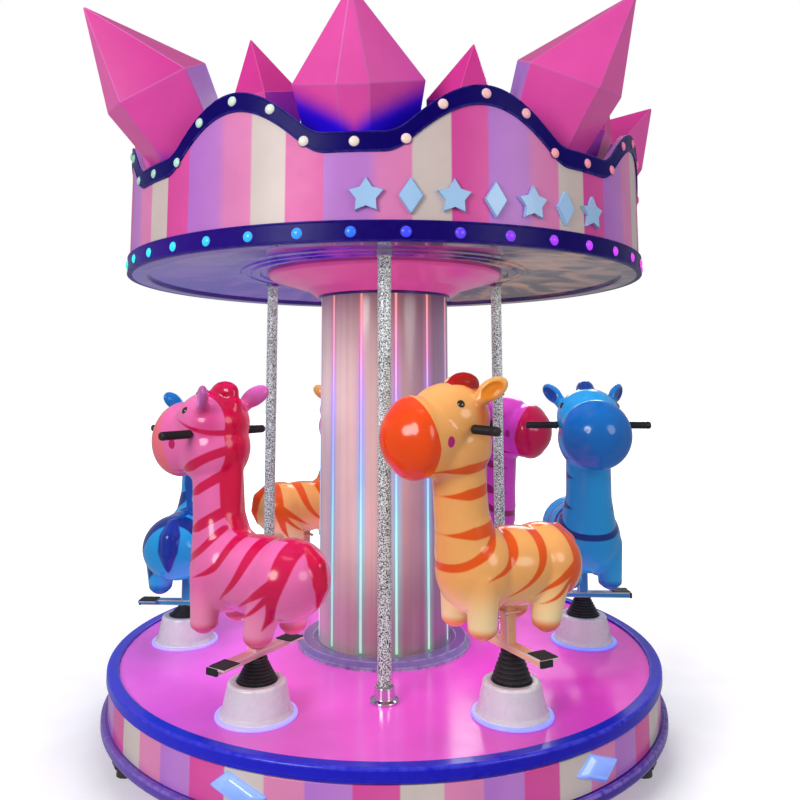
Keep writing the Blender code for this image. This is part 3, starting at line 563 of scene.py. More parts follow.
def dots(spots):
    """A mesh of points only, each with its aim and lie directions, from (place, aim, lie)."""
    mesh = bpy.data.meshes.new("dots")
    mesh.from_pydata([tuple(spot[0]) for spot in spots], [], [])
    for column, name in ((1, "aim"), (2, "lie")):
        attribute = mesh.attributes.new(name, "FLOAT_VECTOR", "POINT")
        attribute.data.foreach_set("vector", np.array([spot[column] for spot in spots], np.float32).ravel())
    return mesh


def grown(tree, start, **sizes):
    """The plain mesh that a Geometry Nodes tree makes from a starting mesh and its named inputs."""
    carrier = bpy.data.objects.new("carrier", start)
    bpy.context.scene.collection.objects.link(carrier)
    modifier = carrier.modifiers.new("grown", "NODES")
    modifier.node_group = tree
    for socket in tree.interface.items_tree:
        if socket.in_out == "INPUT" and socket.name in sizes:
            modifier[socket.identifier] = sizes[socket.name]
    depsgraph = bpy.context.evaluated_depsgraph_get()
    mesh = bpy.data.meshes.new_from_object(carrier.evaluated_get(depsgraph))
    bpy.data.objects.remove(carrier)
    return mesh


DOMES, RINGS, LIGHT_LINES, BUBBLES = domes_tree(), rings_tree(), light_lines_tree(), bubbles_tree()

# Finishes

# Mild steel, powder coated: a fine orange peel breaks up the sheen of the dark frame.
frame_paint = finish("powder_coated_steel", "#34343A", 0.42, grain=(2.0, 0.03))
# Glass-fibre resin, sprayed gel coat: wet-looking stripes with faint long waves under the gloss.
skirt_paint = finish("striped_gel_coat_base", striped([
    (0.0, "#E0D0C8"), (0.240, "#E0D0C8"), (0.250, "#F090C0"), (0.475, "#EC8EC0"), (0.487, "#C47CDC"),
    (0.735, "#CC88DC"), (0.747, "#E850A8"), (0.990, "#EC5CAC"), (0.998, "#E0D0C8")]), 0.22,
    grain=(60.0, 0.05), Coat_Weight=0.2, Coat_Roughness=0.15, Specular_IOR_Level=0.35)
wall_paint = finish("striped_gel_coat_crown", striped([
    (0.0, "#D8469A"), (0.228, "#DE50A2"), (0.238, "#B870CC"), (0.50, "#C27CCC"), (0.56, "#DC80B8"),
    (0.752, "#E280B4"), (0.764, "#D2C2BC"), (0.990, "#D2C0B8"), (0.998, "#D8469A")]), 0.34,
    grain=(60.0, 0.04), Coat_Weight=0.1, Coat_Roughness=0.25, Specular_IOR_Level=0.25)
# The same gel coat in one colour, with painted light and shade from side to side: lighter at the left and darker
# towards the right. The deck is buffed to a mirror, and the rims' edges are rubbed paler.
deck_paint = finish("gel_coat_magenta_deck", along("X", -1.05, 1.05, [
    (0.0, "#FF68FF"), (0.35, "#F066DC"), (0.7, "#F04CD4"), (1.0, "#FF34D8")]), 0.2,
    grain=(60.0, 0.06), Coat_Weight=0.2, Coat_Roughness=0.12, Specular_IOR_Level=0.35)
rim_paint = finish("gel_coat_blue_rim", along("X", -1.1, 1.1, [
    (0.0, "#2830E0"), (0.35, "#1C1CCC"), (0.7, "#1208BC"), (1.0, "#100CC4")]), 0.2, grain=(50.0, 0.06),
    wear="#3C3CD4", Coat_Weight=0.15, Specular_IOR_Level=0.2)
# The base ring and the canopy band carry the same painted light and shade: lighter at the left, darker towards the
# right.
ring_paint = finish("gel_coat_violet_ring", along("X", -1.1, 1.1, [
    (0.0, "#7450BC"), (0.4, "#4428A0"), (1.0, "#3C209C")]), 0.24, grain=(50.0, 0.06), wear="#8468C8",
    Coat_Weight=0.15, Specular_IOR_Level=0.3)
band_paint = finish("gel_coat_indigo_band", along("X", -1.1, 1.1, [
    (0.0, "#3C1894"), (0.35, "#14006C"), (1.0, "#0C0058")]), 0.3, grain=(50.0, 0.06), wear="#4830A0",
    Specular_IOR_Level=0.08)
trim_paint = finish("gel_coat_indigo_trim", "#0C0060", 0.3, grain=(50.0, 0.06), wear="#4840A0",
                    Specular_IOR_Level=0.06)
# Lacquer over a silvery ground, glossy enough to mirror the capital; its soft patches of lilac, plum and pale gold
# are painted reflections, violet at the left and plum and gold towards the right.
ceiling_paint = finish("metallic_lacquer_ceiling_painted_reflections", painted_reflections(240.0, [
    (0.0, "#5C18FF"), (0.35, "#6018E0"), (0.6, "#5C2080"), (0.8, "#38143C"), (1.0, "#401848")], [
    (0.0, "#9448FF"), (0.35, "#A058F4"), (0.6, "#C084A8"), (0.8, "#ECB884"), (1.0, "#BC8878")]), 0.09,
    grain=(120.0, 0.50), Metallic=0.5)
# Dark violet painted shade: the shadow line on the ceiling's step down to its lip. The column's collar under the
# capital is painted the same dark violet.
step_shade_paint = finish("gel_coat_painted_shade_line", "#3C1C8C", 0.2, Coat_Weight=0.4)
capital_paint = finish("gel_coat_hot_pink", "#FF66BC", 0.2, grain=(40.0, 0.15), Coat_Weight=0.25, Coat_Roughness=0.1,
                       Specular_IOR_Level=0.3)
LINE_COLOURS = [(0.0, "#B8E8C8"), (0.2, "#A4E4DC"), (0.38, "#94D4F0"), (0.5, "#90B8F4"), (0.67, "#B09CF0"),
                (0.82, "#DC98CC"), (1.0, "#ECA8A0")]
# Pearl gel coat: satin streaks, darkened towards the right as painted shade and tinted beside the light lines as
# painted light.
column_paint = finish("pearl_gel_coat_painted_light", pearl_and_painted_light([
    (0.0, "#F4DCD4"), (0.35, "#DCBCB4"), (0.6, "#C09C9C"), (0.8, "#A88498"), (1.0, "#A084A8")]), 0.2,
    grain=(50.0, 0.05), Coat_Weight=0.4, Coat_Roughness=0.12)
foot_paint = finish("gel_coat_grey_violet", "#7A64A8", 0.14, wear="#C8C0E0", Coat_Weight=0.5)
roof_paint = finish("gel_coat_blue_violet_roof", "#5030C8", 0.3, Coat_Weight=0.3)
# Flat facets under a satin gel coat, blue and violet towards the foot; each kind of facet and one flank carry painted
# light and shade, and their edges are painted paler, as wear and as a painted highlight.
crystal_paint = finish("gel_coat_crystal", faceted([
    (0.0, "#D62C92"), (0.3, "#F454AC"), (0.6, "#B028B8"), (0.95, "#B868D8")]), 0.34,
    grain=(60.0, 0.10), Coat_Weight=0.1, Coat_Roughness=0.2, Specular_IOR_Level=0.3)
# The crystals' edges: a paler pink that is partly wear and partly a painted highlight.
crystal_edge = finish("crystal_edge_wear_and_painted_highlight", faceted([(0.0, "#E458A8"), (0.95, "#D868BC")]), 0.4,
                      Specular_IOR_Level=0.3)
# Cast resin: a milky blue with a wet gloss; it glows as painted light and is painted paler towards the top.
glowing_gem_paint = finish("cast_resin_gem", along("Z", DECK - 0.15, DECK - 0.05, [
    (0.0, "#6488F8"), (1.0, "#98B8FF")]), 0.14, grain=(30.0, 0.05), glow=0.42, Coat_Weight=0.4)
glowing_gem_edge = finish("cast_resin_gem_edge", "#8CACFF", 0.16, glow=0.4, Coat_Weight=0.4)
# Cast acrylic sheet: flat satin faces, with deeper blue where the sheet was cut.
shape_paint = finish("cast_acrylic_pale_blue", "#A4CCF2", 0.3, Coat_Weight=0.2)
shape_edge = finish("cut_acrylic_pale_blue", "#88B4E4", 0.35)
# Polycarbonate lamp domes over light-emitting diodes: their colour runs across the crown.
band_light = finish("lit_lamp_band", along("X", -1.08, 1.08, [
    (0.0, "#30D8A8"), (0.08, "#28D0C4"), (0.2, "#28B0E8"), (0.35, "#2088F4"), (0.5, "#1C40F0"), (0.62, "#5428F4"),
    (0.75, "#8C28F4"), (0.9, "#C034E4"), (1.0, "#E044C0")]), 0.25, glow=1.0)
trim_light = finish("lit_lamp_trim", along("X", -1.08, 1.08, [
    (0.0, "#7CC4A0"), (0.2, "#B4DCC8"), (0.42, "#E8DCCC"), (0.58, "#ECC8C0"), (0.75, "#EE9CA8"), (1.0, "#E86890")]),
    0.3, glow=0.22)
lamp_seat = finish("dark_polycarbonate", "#3A2C78", 0.35)
# Silicone light line and polycarbonate ring: an even glow that changes colour along them.
line_light = finish("lit_silicone_line", along("Z", DECK, LINE_TOP, LINE_COLOURS), 0.3, glow=0.7)
ring_light = finish("lit_polycarbonate_ring", along("X", -0.9, 0.9, [
    (0.0, "#B8A8F4"), (0.5, "#A8A8FC"), (1.0, "#7C90FC")]), 0.25, glow=0.5)
# Chromed steel: bright and hard, with a hair of polishing haze.
chrome = finish("chromed_steel", "#D8DADC", 0.08, grain=(1.5, 0.002), Metallic=1.0)
# Cast acrylic: a clear tube that shows the bubbles and flakes inside it.
acrylic = finish("cast_acrylic", "#FAFCFF", 0.03, grain=(20.0, 0.01), Transmission_Weight=1.0, IOR=1.49)
bubble_skin = finish("silver_bubbles", "#F4F6F6", 0.15, Coat_Weight=0.5)
# Metal flake cast into the pole's core: specks of bright and dark, with a faint glow that is painted light for their
# glints. Real flake is about 1 mm wide; these are drawn 4.5 mm wide so that they show.
flake_with_painted_glints = finish("cast_silver_flake", speckled(4.5, [
    (0.32, "#3C403C"), (0.42, "#8C948C"), (0.52, "#D8DCD8"), (0.64, "#FFFFFF")]), 0.3, glow=0.15)
# Moulded polypropylene: soft white with a slight sheen.
cone_plastic = finish("moulded_white_plastic", "#DCD4DE", 0.28, grain=(3.0, 0.01), wear="#FFFFFF", Coat_Weight=0.2)
# Moulded rubber: nearly black, dull, with a powdery bloom on its folds.
bellows_rubber = finish("moulded_rubber", "#17171A", 0.55, grain=(1.5, 0.03), wear="#3C3C42")
tread_rubber = finish("chequered_rubber", "#2A2A2C", 0.6, grain=(1.2, 0.05))
grip_rubber = finish("grip_rubber", "#121214", 0.5, grain=(1.0, 0.04))
# Moulded polyethylene caps, smoother than the rubber beside them, and enamelled eyes like drops of ink.
cap_plastic = finish("black_polyethylene", "#18181A", 0.4, grain=(2.0, 0.02))
eye_gloss = finish("black_enamel", "#120806", 0.06, Coat_Weight=1.0)
# The animals' gel coat is hand sprayed in layers and lacquered; their steel is powder coated to match.
coat_paint = {name: finish("gel_coat_%s_animal" % name, painted(coat), 0.18, grain=(45.0, 0.10), Coat_Weight=0.35,
                           Coat_Roughness=0.08, Specular_IOR_Level=0.3) for name, coat in COATS.items()}
steel_paint = {name: finish("powder_coated_%s_steel" % name, coat["steel"], 0.3, grain=(2.0, 0.02),
                            Coat_Weight=0.3) for name, coat in COATS.items()}
steel_edge = finish("rubbed_powder_coat_edge", "#DCD2D4", 0.35, grain=(2.0, 0.02))


# Still base

def rhombic_gems():
    """Six pillowed gems on the skirt, each a leaning rhombus."""
    wide, tall, height = 0.098, 0.052, DECK - 0.097
    gems = []
    for number in range(6):
        turn = Matrix.Rotation(math.radians(GEM_TURN + GEM_STEP * number), 4, "Z")
        gems.append(stacked([[turn @ Vector((SKIRT_R + out, side * wide * scale, height + rise * tall * scale))
                              for side, rise in ((1, 0), (-0.33, 1), (-1, 0), (0.33, -1))]
                             for out, scale in ((-0.006, 1.0), (0.002, 1.0), (0.017, 0.62))], 0.006, 4))
    return evened(joined(gems))


def make_base():
    for node, paint in (("base_frame", frame_paint), ("deck_panel", deck_paint)):
        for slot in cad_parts[node].material_slots:
            slot.link = "OBJECT"
            slot.material = paint
    inner, outer, bottom, top = reach("base_ring")
    ring = turned([(inner, bottom), (outer, bottom, 0.010), (outer, top, 0.010), (outer - 0.016, top),
                   (outer - 0.018, top - 0.002, 0.001), (inner, top - 0.002)])
    piece("base_ring_cover", mark_edges(ring), "base", ring_paint, slot="base_ring", stands_for=["base_ring"])
    low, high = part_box("base_skirt")
    skirt = turned([(1.060, low.z), (SKIRT_R, low.z), (SKIRT_R, high.z, 0.003), (1.060, high.z)], 720)
    map_stripes(skirt, [(-87.5, 0), (-61.4, 1), (-34.0, 2)], 13)
    piece("skirt_wall", skirt, "base", skirt_paint, slot="base_skirt", stands_for=["base_skirt"])
    piece("skirt_gems", rhombic_gems(), "base", glowing_gem_paint, glowing_gem_edge, smooth=False)


# Turning deck and column

def make_deck():
    inner, outer, bottom, top = reach("deck_rim")
    rim = turned([(inner, bottom), (outer - 0.004, bottom, 0.003), (outer - 0.004, bottom + 0.007, 0.002),
                  (outer, bottom + 0.010, 0.002), (outer, top, 0.009), (inner, top, 0.006)], steps=6)
    piece("deck_edge", mark_edges(rim, 14.0), "turntable", rim_paint, slot="deck_rim", stands_for=["deck_rim"])


def column_shell():
    """The column's shell with its twelve upright grooves, whose lips are rounded."""
    low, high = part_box("column")
    radius = reach("column")[1]
    lip = ((LINE_HALF, 0.0), (1.30, 0.0008), (1.22, 0.004))
    outline = []
    for number in range(12):
        middle = LINE_TURN + LINE_STEP * number
        outline += [(middle - offset, radius - depth) for offset, depth in lip]
        outline += [(middle + offset, radius - depth) for offset, depth in lip[::-1]]
        outline += [(middle + LINE_HALF + (LINE_STEP - 2 * LINE_HALF) * step / 14, radius) for step in range(1, 14)]
    return stacked([[polar(azimuth, r, z) for azimuth, r in outline] for z in (low.z, high.z)])


def make_column():
    low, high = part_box("column")
    radius = reach("column")[1]
    shell = map_stripes(column_shell(), [(LINE_TURN, 0), (LINE_TURN + LINE_STEP, 1)], 12)
    piece("column_shell", shell, "turntable", column_paint, slot="column", stands_for=["column"], sharp=30)
    grooves = dots([(polar(LINE_TURN + LINE_STEP * number, radius - 0.0035, low.z + 0.035), (0, 0, 1), (1, 0, 0))
                    for number in range(12)])
    piece("column_light_lines", grown(LIGHT_LINES, grooves, length=high.z - low.z - 0.045, radius=0.0048,
                                      material=line_light), "turntable")
    _, outer, bottom, top = reach("column_foot_ring")
    foot = turned([(radius + 0.0006, bottom), (outer, bottom), (outer, bottom + 0.012, 0.006),
                   (outer - 0.020, top, 0.006), (radius + 0.022, top, 0.004), (radius + 0.020, top - 0.006, 0.003),
                   (radius + 0.0006, top - 0.006)], 128)
    piece("column_foot", mark_edges(foot), "turntable", foot_paint, slot="column_foot_ring",
          stands_for=["column_foot_ring"])
    _, outer, bottom, top = reach("column_capital")
    capital = turned([(0, bottom), (0.300, bottom, 0.006), (0.340, bottom + 0.030, 0.060),
                      (outer - 0.010, top - 0.024, 0.030), (outer, top - 0.012, 0.006), (outer, top), (0, top)], 128)
    piece("column_head", capital, "turntable", capital_paint, slot="column_capital", stands_for=["column_capital"])
    collar = turned([(radius, bottom - 0.010), (radius + 0.012, bottom - 0.010, 0.003),
                     (radius + 0.012, bottom, 0.003), (radius, bottom)], 128)
    piece("column_collar", collar, "turntable", step_shade_paint)


def make_poles():
    low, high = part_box("pole_front")
    tubes, sockets, cores, screws = [], [], [], []
    for number, azimuth in enumerate(POLE_AZIMUTHS):
        spot = Matrix.Translation(polar(azimuth, POLE_CIRCLE_R, 0.0))
        tubes.append(moved(turned([(0, low.z + 0.040), (0.0245, low.z + 0.040, 0.002),
                                   (0.0245, high.z - 0.002, 0.002), (0, high.z - 0.002)], 48), spot))
        cores.append(moved(turned([(0, low.z + 0.041), (0.0190, low.z + 0.041), (0.0190, high.z - 0.004),
                                   (0, high.z - 0.004)], 24), spot))
        sockets.append(moved(turned([(0, low.z), (0.050, low.z, 0.002), (0.050, low.z + 0.008, 0.003),
                                     (0.036, low.z + 0.012, 0.006), (0.034, low.z + 0.050, 0.003),
                                     (0.0255, low.z + 0.052, 0.001), (0.0255, low.z + 0.030),
                                     (0, low.z + 0.030)], 48), spot))
        sockets.append(moved(turned([(0.0250, high.z - 0.018), (0.031, high.z - 0.018, 0.003), (0.031, high.z),
                                     (0.0250, high.z)], 48), spot))
        bubbles = grown(BUBBLES, dots([((0, 0, 0), (0, 0, 1), (1, 0, 0))]), count=1500, radius=0.0218,
                        bottom=low.z + 0.055, top=high.z - 0.012, smallest=0.0010, largest=0.0026,
                        seed=7 + 11 * number, material=bubble_skin)
        piece("pole_bubbles_%d" % (number + 1), moved(bubbles, spot), "turntable")
        for turn in range(4):
            place = polar(azimuth, POLE_CIRCLE_R, low.z + 0.0085) + polar(45.0 + 90.0 * turn, 0.043, 0.0)
            screws.append((place, (0, 0, 1), (1, 0, 0)))
    piece("pole_tubes", joined(tubes), "turntable", acrylic, slot="pole",
          stands_for=["pole_left", "pole_front", "pole_right"])
    piece("pole_cores", joined(cores), "turntable", flake_with_painted_glints)
    piece("pole_sockets", joined(sockets), "turntable", chrome)
    piece("pole_screws", grown(DOMES, dots(screws), length=0.0034, width=0.0034, rise=0.0018, segments=12,
                               material=chrome), "turntable")


# Canopy and crown

def scallop_top(azimuth):
    """Height of the crown's wavy top edge."""
    heights = []
    for blur in (-1.8, -0.9, 0.0, 0.9, 1.8):
        offset = abs((azimuth + blur - CROWN_TURN + CROWN_STEP / 2) % CROWN_STEP - CROWN_STEP / 2)
        heights.append(math.sin(math.pi / 2 * max(0.0, (offset - 7.0) / 15.5)))
    return ROOF + 0.167 * sum(heights) / len(heights)


def make_canopy():
    _, edge, lip, top = reach("ceiling_panel")
    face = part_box("column_capital")[1].z + 0.0003
    ceiling = turned([(0, face), (0.535, face, 0.004), (0.545, face - 0.008, 0.006), (0.575, face - 0.008, 0.006),
                      (0.585, face, 0.006), (0.600, face, 0.004), (0.605, face - 0.005, 0.003),
                      (0.622, face - 0.005, 0.003), (0.627, face, 0.004), (0.680, face, 0.06),
                      (1.000, lip + 0.012, 0.002), (1.001, lip + 0.002, 0.001), (1.007, lip + 0.001, 0.002),
                      (1.010, lip, 0.001), (edge, lip), (edge, top), (0, top)])
    # The faces of the step down to the lip get the second material, its painted shade.
    for polygon in ceiling.polygons:
        polygon.material_index = int(0.9985 < polygon.center.xy.length < 1.008 and polygon.center.z < face)
    piece("ceiling_face", ceiling, "turntable", ceiling_paint, step_shade_paint, slot="ceiling_panel",
          stands_for=["ceiling_panel"])
    inner, outer, bottom, top = reach("canopy_band")
    band = turned([(inner, bottom), (outer, bottom, 0.003), (outer, bottom + 0.005, 0.002),
                   (outer - 0.002, bottom + 0.007, 0.001), (outer - 0.002, top - 0.007, 0.001),
                   (outer, top - 0.005, 0.002), (outer, top, 0.003), (inner, top)])
    piece("canopy_edge", mark_edges(band, 30.0), "turntable", band_paint, slot="canopy_band",
          stands_for=["canopy_band"])
    spots = [(-95.5 + 9.0 * n, outer - 0.002, DECK + 1.536) for n in range(40)]
    make_lamps("band", spots, 0.0172, 0.0090, band_light)


def make_lamps(name, spots, radius, rise, light):
    """A row of lamp domes and their seats from (azimuth, radius, height)."""
    places = dots([(polar(*spot), polar(spot[0], 1.0, 0.0), (0, 0, 1)) for spot in spots])
    piece(name + "_lamps", grown(DOMES, places, length=radius, width=radius, rise=rise, segments=20, material=light),
          "turntable")
    piece(name + "_lamp_seats", grown(RINGS, places, ring_radius=radius, wire_radius=0.0016, material=lamp_seat),
          "turntable")


def raised_shapes():
    """Seven raised stars and diamonds on the crown, each bent to the wall."""
    wall_r = reach("crown_wall")[1]
    star = [polar(90 + 36 * point, 0.029 if point % 2 else 0.060, 0.0) for point in range(10)]
    diamond = [Vector(corner) for corner in ((0.038, 0.0), (0.0, 0.058), (-0.038, 0.0), (0.0, -0.058))]
    shapes = []
    for number in range(7):
        azimuth, outline = -93.0 + 7.3 * number, diamond if number % 2 else star
        shapes.append(stacked([[polar(azimuth + math.degrees(place.x / wall_r), radius, DECK + 1.648 + place.y)
                                for place in outline] for radius in (wall_r - 0.004, wall_r + 0.013)], 0.0025, 3))
    return evened(joined(shapes))


def make_crown():
    inner, outer, bottom, _ = reach("crown_wall")

    def wall_section(azimuth):
        top = scallop_top(azimuth)
        return rounded([(inner, bottom), (outer, bottom), (outer, top, 0.002), (inner, top, 0.002)], 2)
    wall = swept(wall_section, 720, CROWN_TURN)
    map_stripes(wall, [(-106.7, 0), (-78.6, 1), (-51.0, 2)], 13)
    piece("crown_stripes", wall, "turntable", wall_paint, slot="crown_wall", stands_for=["crown_wall"])
    inner, outer, _, _ = reach("crown_trim")

    def trim_section(azimuth):
        top = scallop_top(azimuth)
        low = top - 0.066
        return rounded([(inner, low), (outer + 0.001, low, 0.0025), (outer + 0.001, low + 0.006, 0.002),
                        (outer - 0.001, low + 0.008, 0.001), (outer - 0.001, top - 0.008, 0.001),
                        (outer + 0.001, top - 0.006, 0.002), (outer + 0.001, top, 0.0025), (inner, top)], 3)
    trim = swept(trim_section, 720, CROWN_TURN)
    piece("crown_border", mark_edges(trim, 40.0), "turntable", trim_paint, slot="crown_trim",
          stands_for=["crown_trim"])
    wave = ((-14.8, 1.943), (-8.6, 1.828), (0.0, 1.820), (8.6, 1.828), (14.8, 1.943), (22.5, 1.990))
    spots = [(CROWN_TURN + CROWN_STEP * valley + offset, outer - 0.001, DECK + height)
             for valley in range(8) for offset, height in wave]
    make_lamps("border", spots, 0.0168, 0.0088, trim_light)
    piece("raised_shapes", raised_shapes(), "turntable", shape_paint, shape_edge, smooth=False)


def cut_crystal(node, bevel=0.0035):
    """A CAD crystal with its facets made whole and its edges softened; the edges get the second material."""
    bm = bmesh.new()
    bm.from_mesh(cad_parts[node].data)
    bmesh.ops.remove_doubles(bm, verts=bm.verts, dist=CLOSE)
    bmesh.ops.dissolve_limit(bm, angle_limit=math.radians(1.0), verts=bm.verts[:], edges=bm.edges[:])
    edges = [edge for edge in bm.edges if edge.is_manifold and edge.calc_face_angle(0.0) > math.radians(12)]
    for face in bm.faces:
        face.material_index = 0
    bmesh.ops.bevel(bm, geom=edges, offset=bevel, segments=2, affect="EDGES", profile=0.5, material=1,
                    clamp_overlap=True)
    bmesh.ops.triangulate(bm, faces=bm.faces[:])
    mesh = bpy.data.meshes.new("crystal")
    bm.to_mesh(mesh)
    bm.free()
    return mesh


def mark_facets(mesh, middles, half, floor, reach_up):
    """Marks a crystal for its paint: each facet's painted light and shade, the height over the blue foot, and the
    place across.

    middles gives the crystals' middles, half their half width, floor the height at which they leave the
    roof's edge, and reach_up how much higher the blue climbs at the flanks.
    """
    levels, across, facet_lights = np.zeros(len(mesh.vertices)), np.zeros(len(mesh.vertices)), []
    for polygon in mesh.polygons:
        middle = min(middles, key=lambda place: (place - polygon.center).length)
        outward = Vector((middle.x, middle.y, 0.0)).normalized()
        sideways = Vector((-outward.y, outward.x, 0.0))
        face_out, face_side = polygon.normal.dot(outward), abs(polygon.normal.dot(sideways))
        # Painted light and shade by the way each facet faces: facets facing in are lilac, flanks purple, facets
        # facing down lighter pink.
        if face_out < -0.15:
            facet_light = 1.0
        elif face_side > 0.86:
            facet_light = 0.66
        else:
            facet_light = 0.33 if polygon.normal.z < -0.05 else 0.0
        for index in polygon.vertices:
            place = mesh.vertices[index].co
            levels[index] = place.z - floor
            across[index] = (place - middle).dot(sideways) / half * reach_up
            facet_lights.append(facet_light)
    mark(mesh, "level", levels)
    mark(mesh, "across", across)
    mark(mesh, "facet_light", facet_lights, "CORNER")
    return mesh


def make_crystals():
    for number in range(1, 9):
        node = "crystal_%d" % number
        low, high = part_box(node)
        upright = number % 2
        shape = mark_facets(evened(cut_crystal(node)), [(low + high) / 2], 0.235,
                            ROOF + (0.020 if upright else -0.010), 0.160 if upright else 0.050)
        piece("crown_crystal_%d" % number, shape, "turntable", crystal_paint, crystal_edge, slot="crystal",
              stands_for=[node], smooth=False)


def make_roof():
    """The roof sheet and its eight small crystals, from the CAD solid."""
    mesh = evened(cut_crystal("roof_panel", 0.002))
    for polygon in mesh.polygons:
        if polygon.material_index == 0 and polygon.center.z < ROOF + 0.004:
            polygon.material_index = 2
    middles = [polar(CROWN_TURN + CROWN_STEP * (number + 0.5), 0.900, ROOF + 0.150) for number in range(8)]
    mark_facets(mesh, middles, 0.130, ROOF + 0.02, 0.050)
    piece("crown_roof", mesh, "turntable", crystal_paint, crystal_edge, roof_paint, slot="roof_panel",
          stands_for=["roof_panel"], smooth=False)


# Riders

def ear_turn(side):
    """Turns a flat ellipsoid so that its length runs up and out and its face looks forward and out."""
    length = Vector((-0.066, side * 0.058, 0.055)).normalized()
    face = Vector((0.6, side * 0.75, -0.1))
    width = face.cross(length).normalized()
    return Matrix((length, width, length.cross(width))).transposed()


def ball(centre, radii, turn=Matrix.Identity(4)):
    """A turned ellipsoid."""
    bm = bmesh.new()
    bmesh.ops.create_uvsphere(bm, u_segments=48, v_segments=28, radius=1.0,
                              matrix=Matrix.Translation(centre) @ turn @ Matrix.Diagonal((*radii, 1.0)))
    return closed_mesh(bm)


def limb(stations):
    """A round limb through stations of (x, y, z, radius), with a ball at each station."""
    shapes = [ball(station[:3], [station[3]] * 3) for station in stations]
    for start, end in zip(stations, stations[1:]):
        foot = Vector(start[:3])
        run = Vector(end[:3]) - foot
        turn = run.to_track_quat("Z", "Y").to_matrix().to_4x4()
        bm = bmesh.new()
        bmesh.ops.create_cone(bm, cap_ends=True, segments=48, radius1=start[3], radius2=end[3],
                              depth=run.length, matrix=Matrix.Translation(foot + run / 2) @ turn)
        shapes.append(closed_mesh(bm))
    return shapes


def animal_skin():
    """The animal's moulded skin; X is forward, Y outward, and the origin is on the footrest bar."""
    shapes = [ball(centre, radii) for centre, radii in BODY_BALLS]
    for stations in BODY_LIMBS:
        shapes += limb(stations)
    for side in (-1, 1):
        for stations in SIDE_LIMBS:
            shapes += limb([(x, side * y, z, radius) for x, y, z, radius in stations])
        for x, y, z in HOOVES:
            shapes += limb([(x, side * y, z - 0.025, 0.001), (x, side * y, z - 0.0249, 0.047),
                            (x, side * y, z + 0.025, 0.047)])[3:]
        x, y, z = EAR_CENTRE
        shapes.append(ball((x, side * y, z), EAR_RADII, ear_turn(side).to_4x4()))
    skin = bpy.data.objects.new("skin", joined(shapes))
    bpy.context.scene.collection.objects.link(skin)
    remesh = skin.modifiers.new("skin", "REMESH")
    remesh.mode = "VOXEL"
    remesh.voxel_size = 0.005
    soften = skin.modifiers.new("soften", "SMOOTH")
    soften.iterations = 18
    depsgraph = bpy.context.evaluated_depsgraph_get()
    mesh = bpy.data.meshes.new_from_object(skin.evaluated_get(depsgraph))
    bpy.data.objects.remove(skin)
    return mesh


def eased(path):
    """A path with its corners cut twice, so that it bends softly."""
    path = np.array(path)
    for _ in range(2):
        first, last = path[:-1] * 0.75 + path[1:] * 0.25, path[:-1] * 0.25 + path[1:] * 0.75
        path = np.vstack((path[:1], np.stack((first, last), 1).reshape(-1, path.shape[1]), path[-1:]))
    return path


def path_cover(points, path):
    """How far inside a painted stripe each (forward, height) point lies, in millimetres."""
    path = eased(path)
    best = np.full(len(points), -1.0)
    for start, end in zip(path, path[1:]):
        first = np.array(start[:2])
        run = np.array(end[:2]) - first
        share = np.clip((points - first) @ run / (run @ run), 0, 1)
        gap = np.linalg.norm(points - first - share[:, None] * run, axis=1)
        best = np.maximum(best, start[2] + share * (end[2] - start[2]) - gap)
    return best * 1000


def in_ear(points, side):
    """The points as one ear's own length, width and depth."""
    return (points - np.array(EAR_CENTRE) * (1, side, 1)) @ np.array(ear_turn(side))


def hollow_ears(points):
    """Presses a hollow into each ear and returns how far inside its lining each point lies, in millimetres."""
    cover = np.full(len(points), -20.0)
    for side in (-1, 1):
        turn = np.array(ear_turn(side))
        local = in_ear(points, side)
        inside = 1 - np.hypot(local[:, 0] / 0.042, local[:, 1] / 0.023)
        facing = local[:, 2] > 0.0
        near = np.where(facing & (abs(local[:, 2]) < 0.03), inside, -1.0)
        cover = np.maximum(cover, near * 22)
        press = np.clip(near / 0.5, 0, 1)
        points -= np.outer(0.010 * press * press * (3 - 2 * press), turn[:, 2])
    return cover


def side_hit(tree, place, side):
    """Where a line from the side meets the animal's skin, and the skin's direction there."""
    spot, normal, _, _ = tree.ray_cast(Vector((place[0], side * 0.5, place[1])), Vector((0, -side, 0)))
    return spot, normal


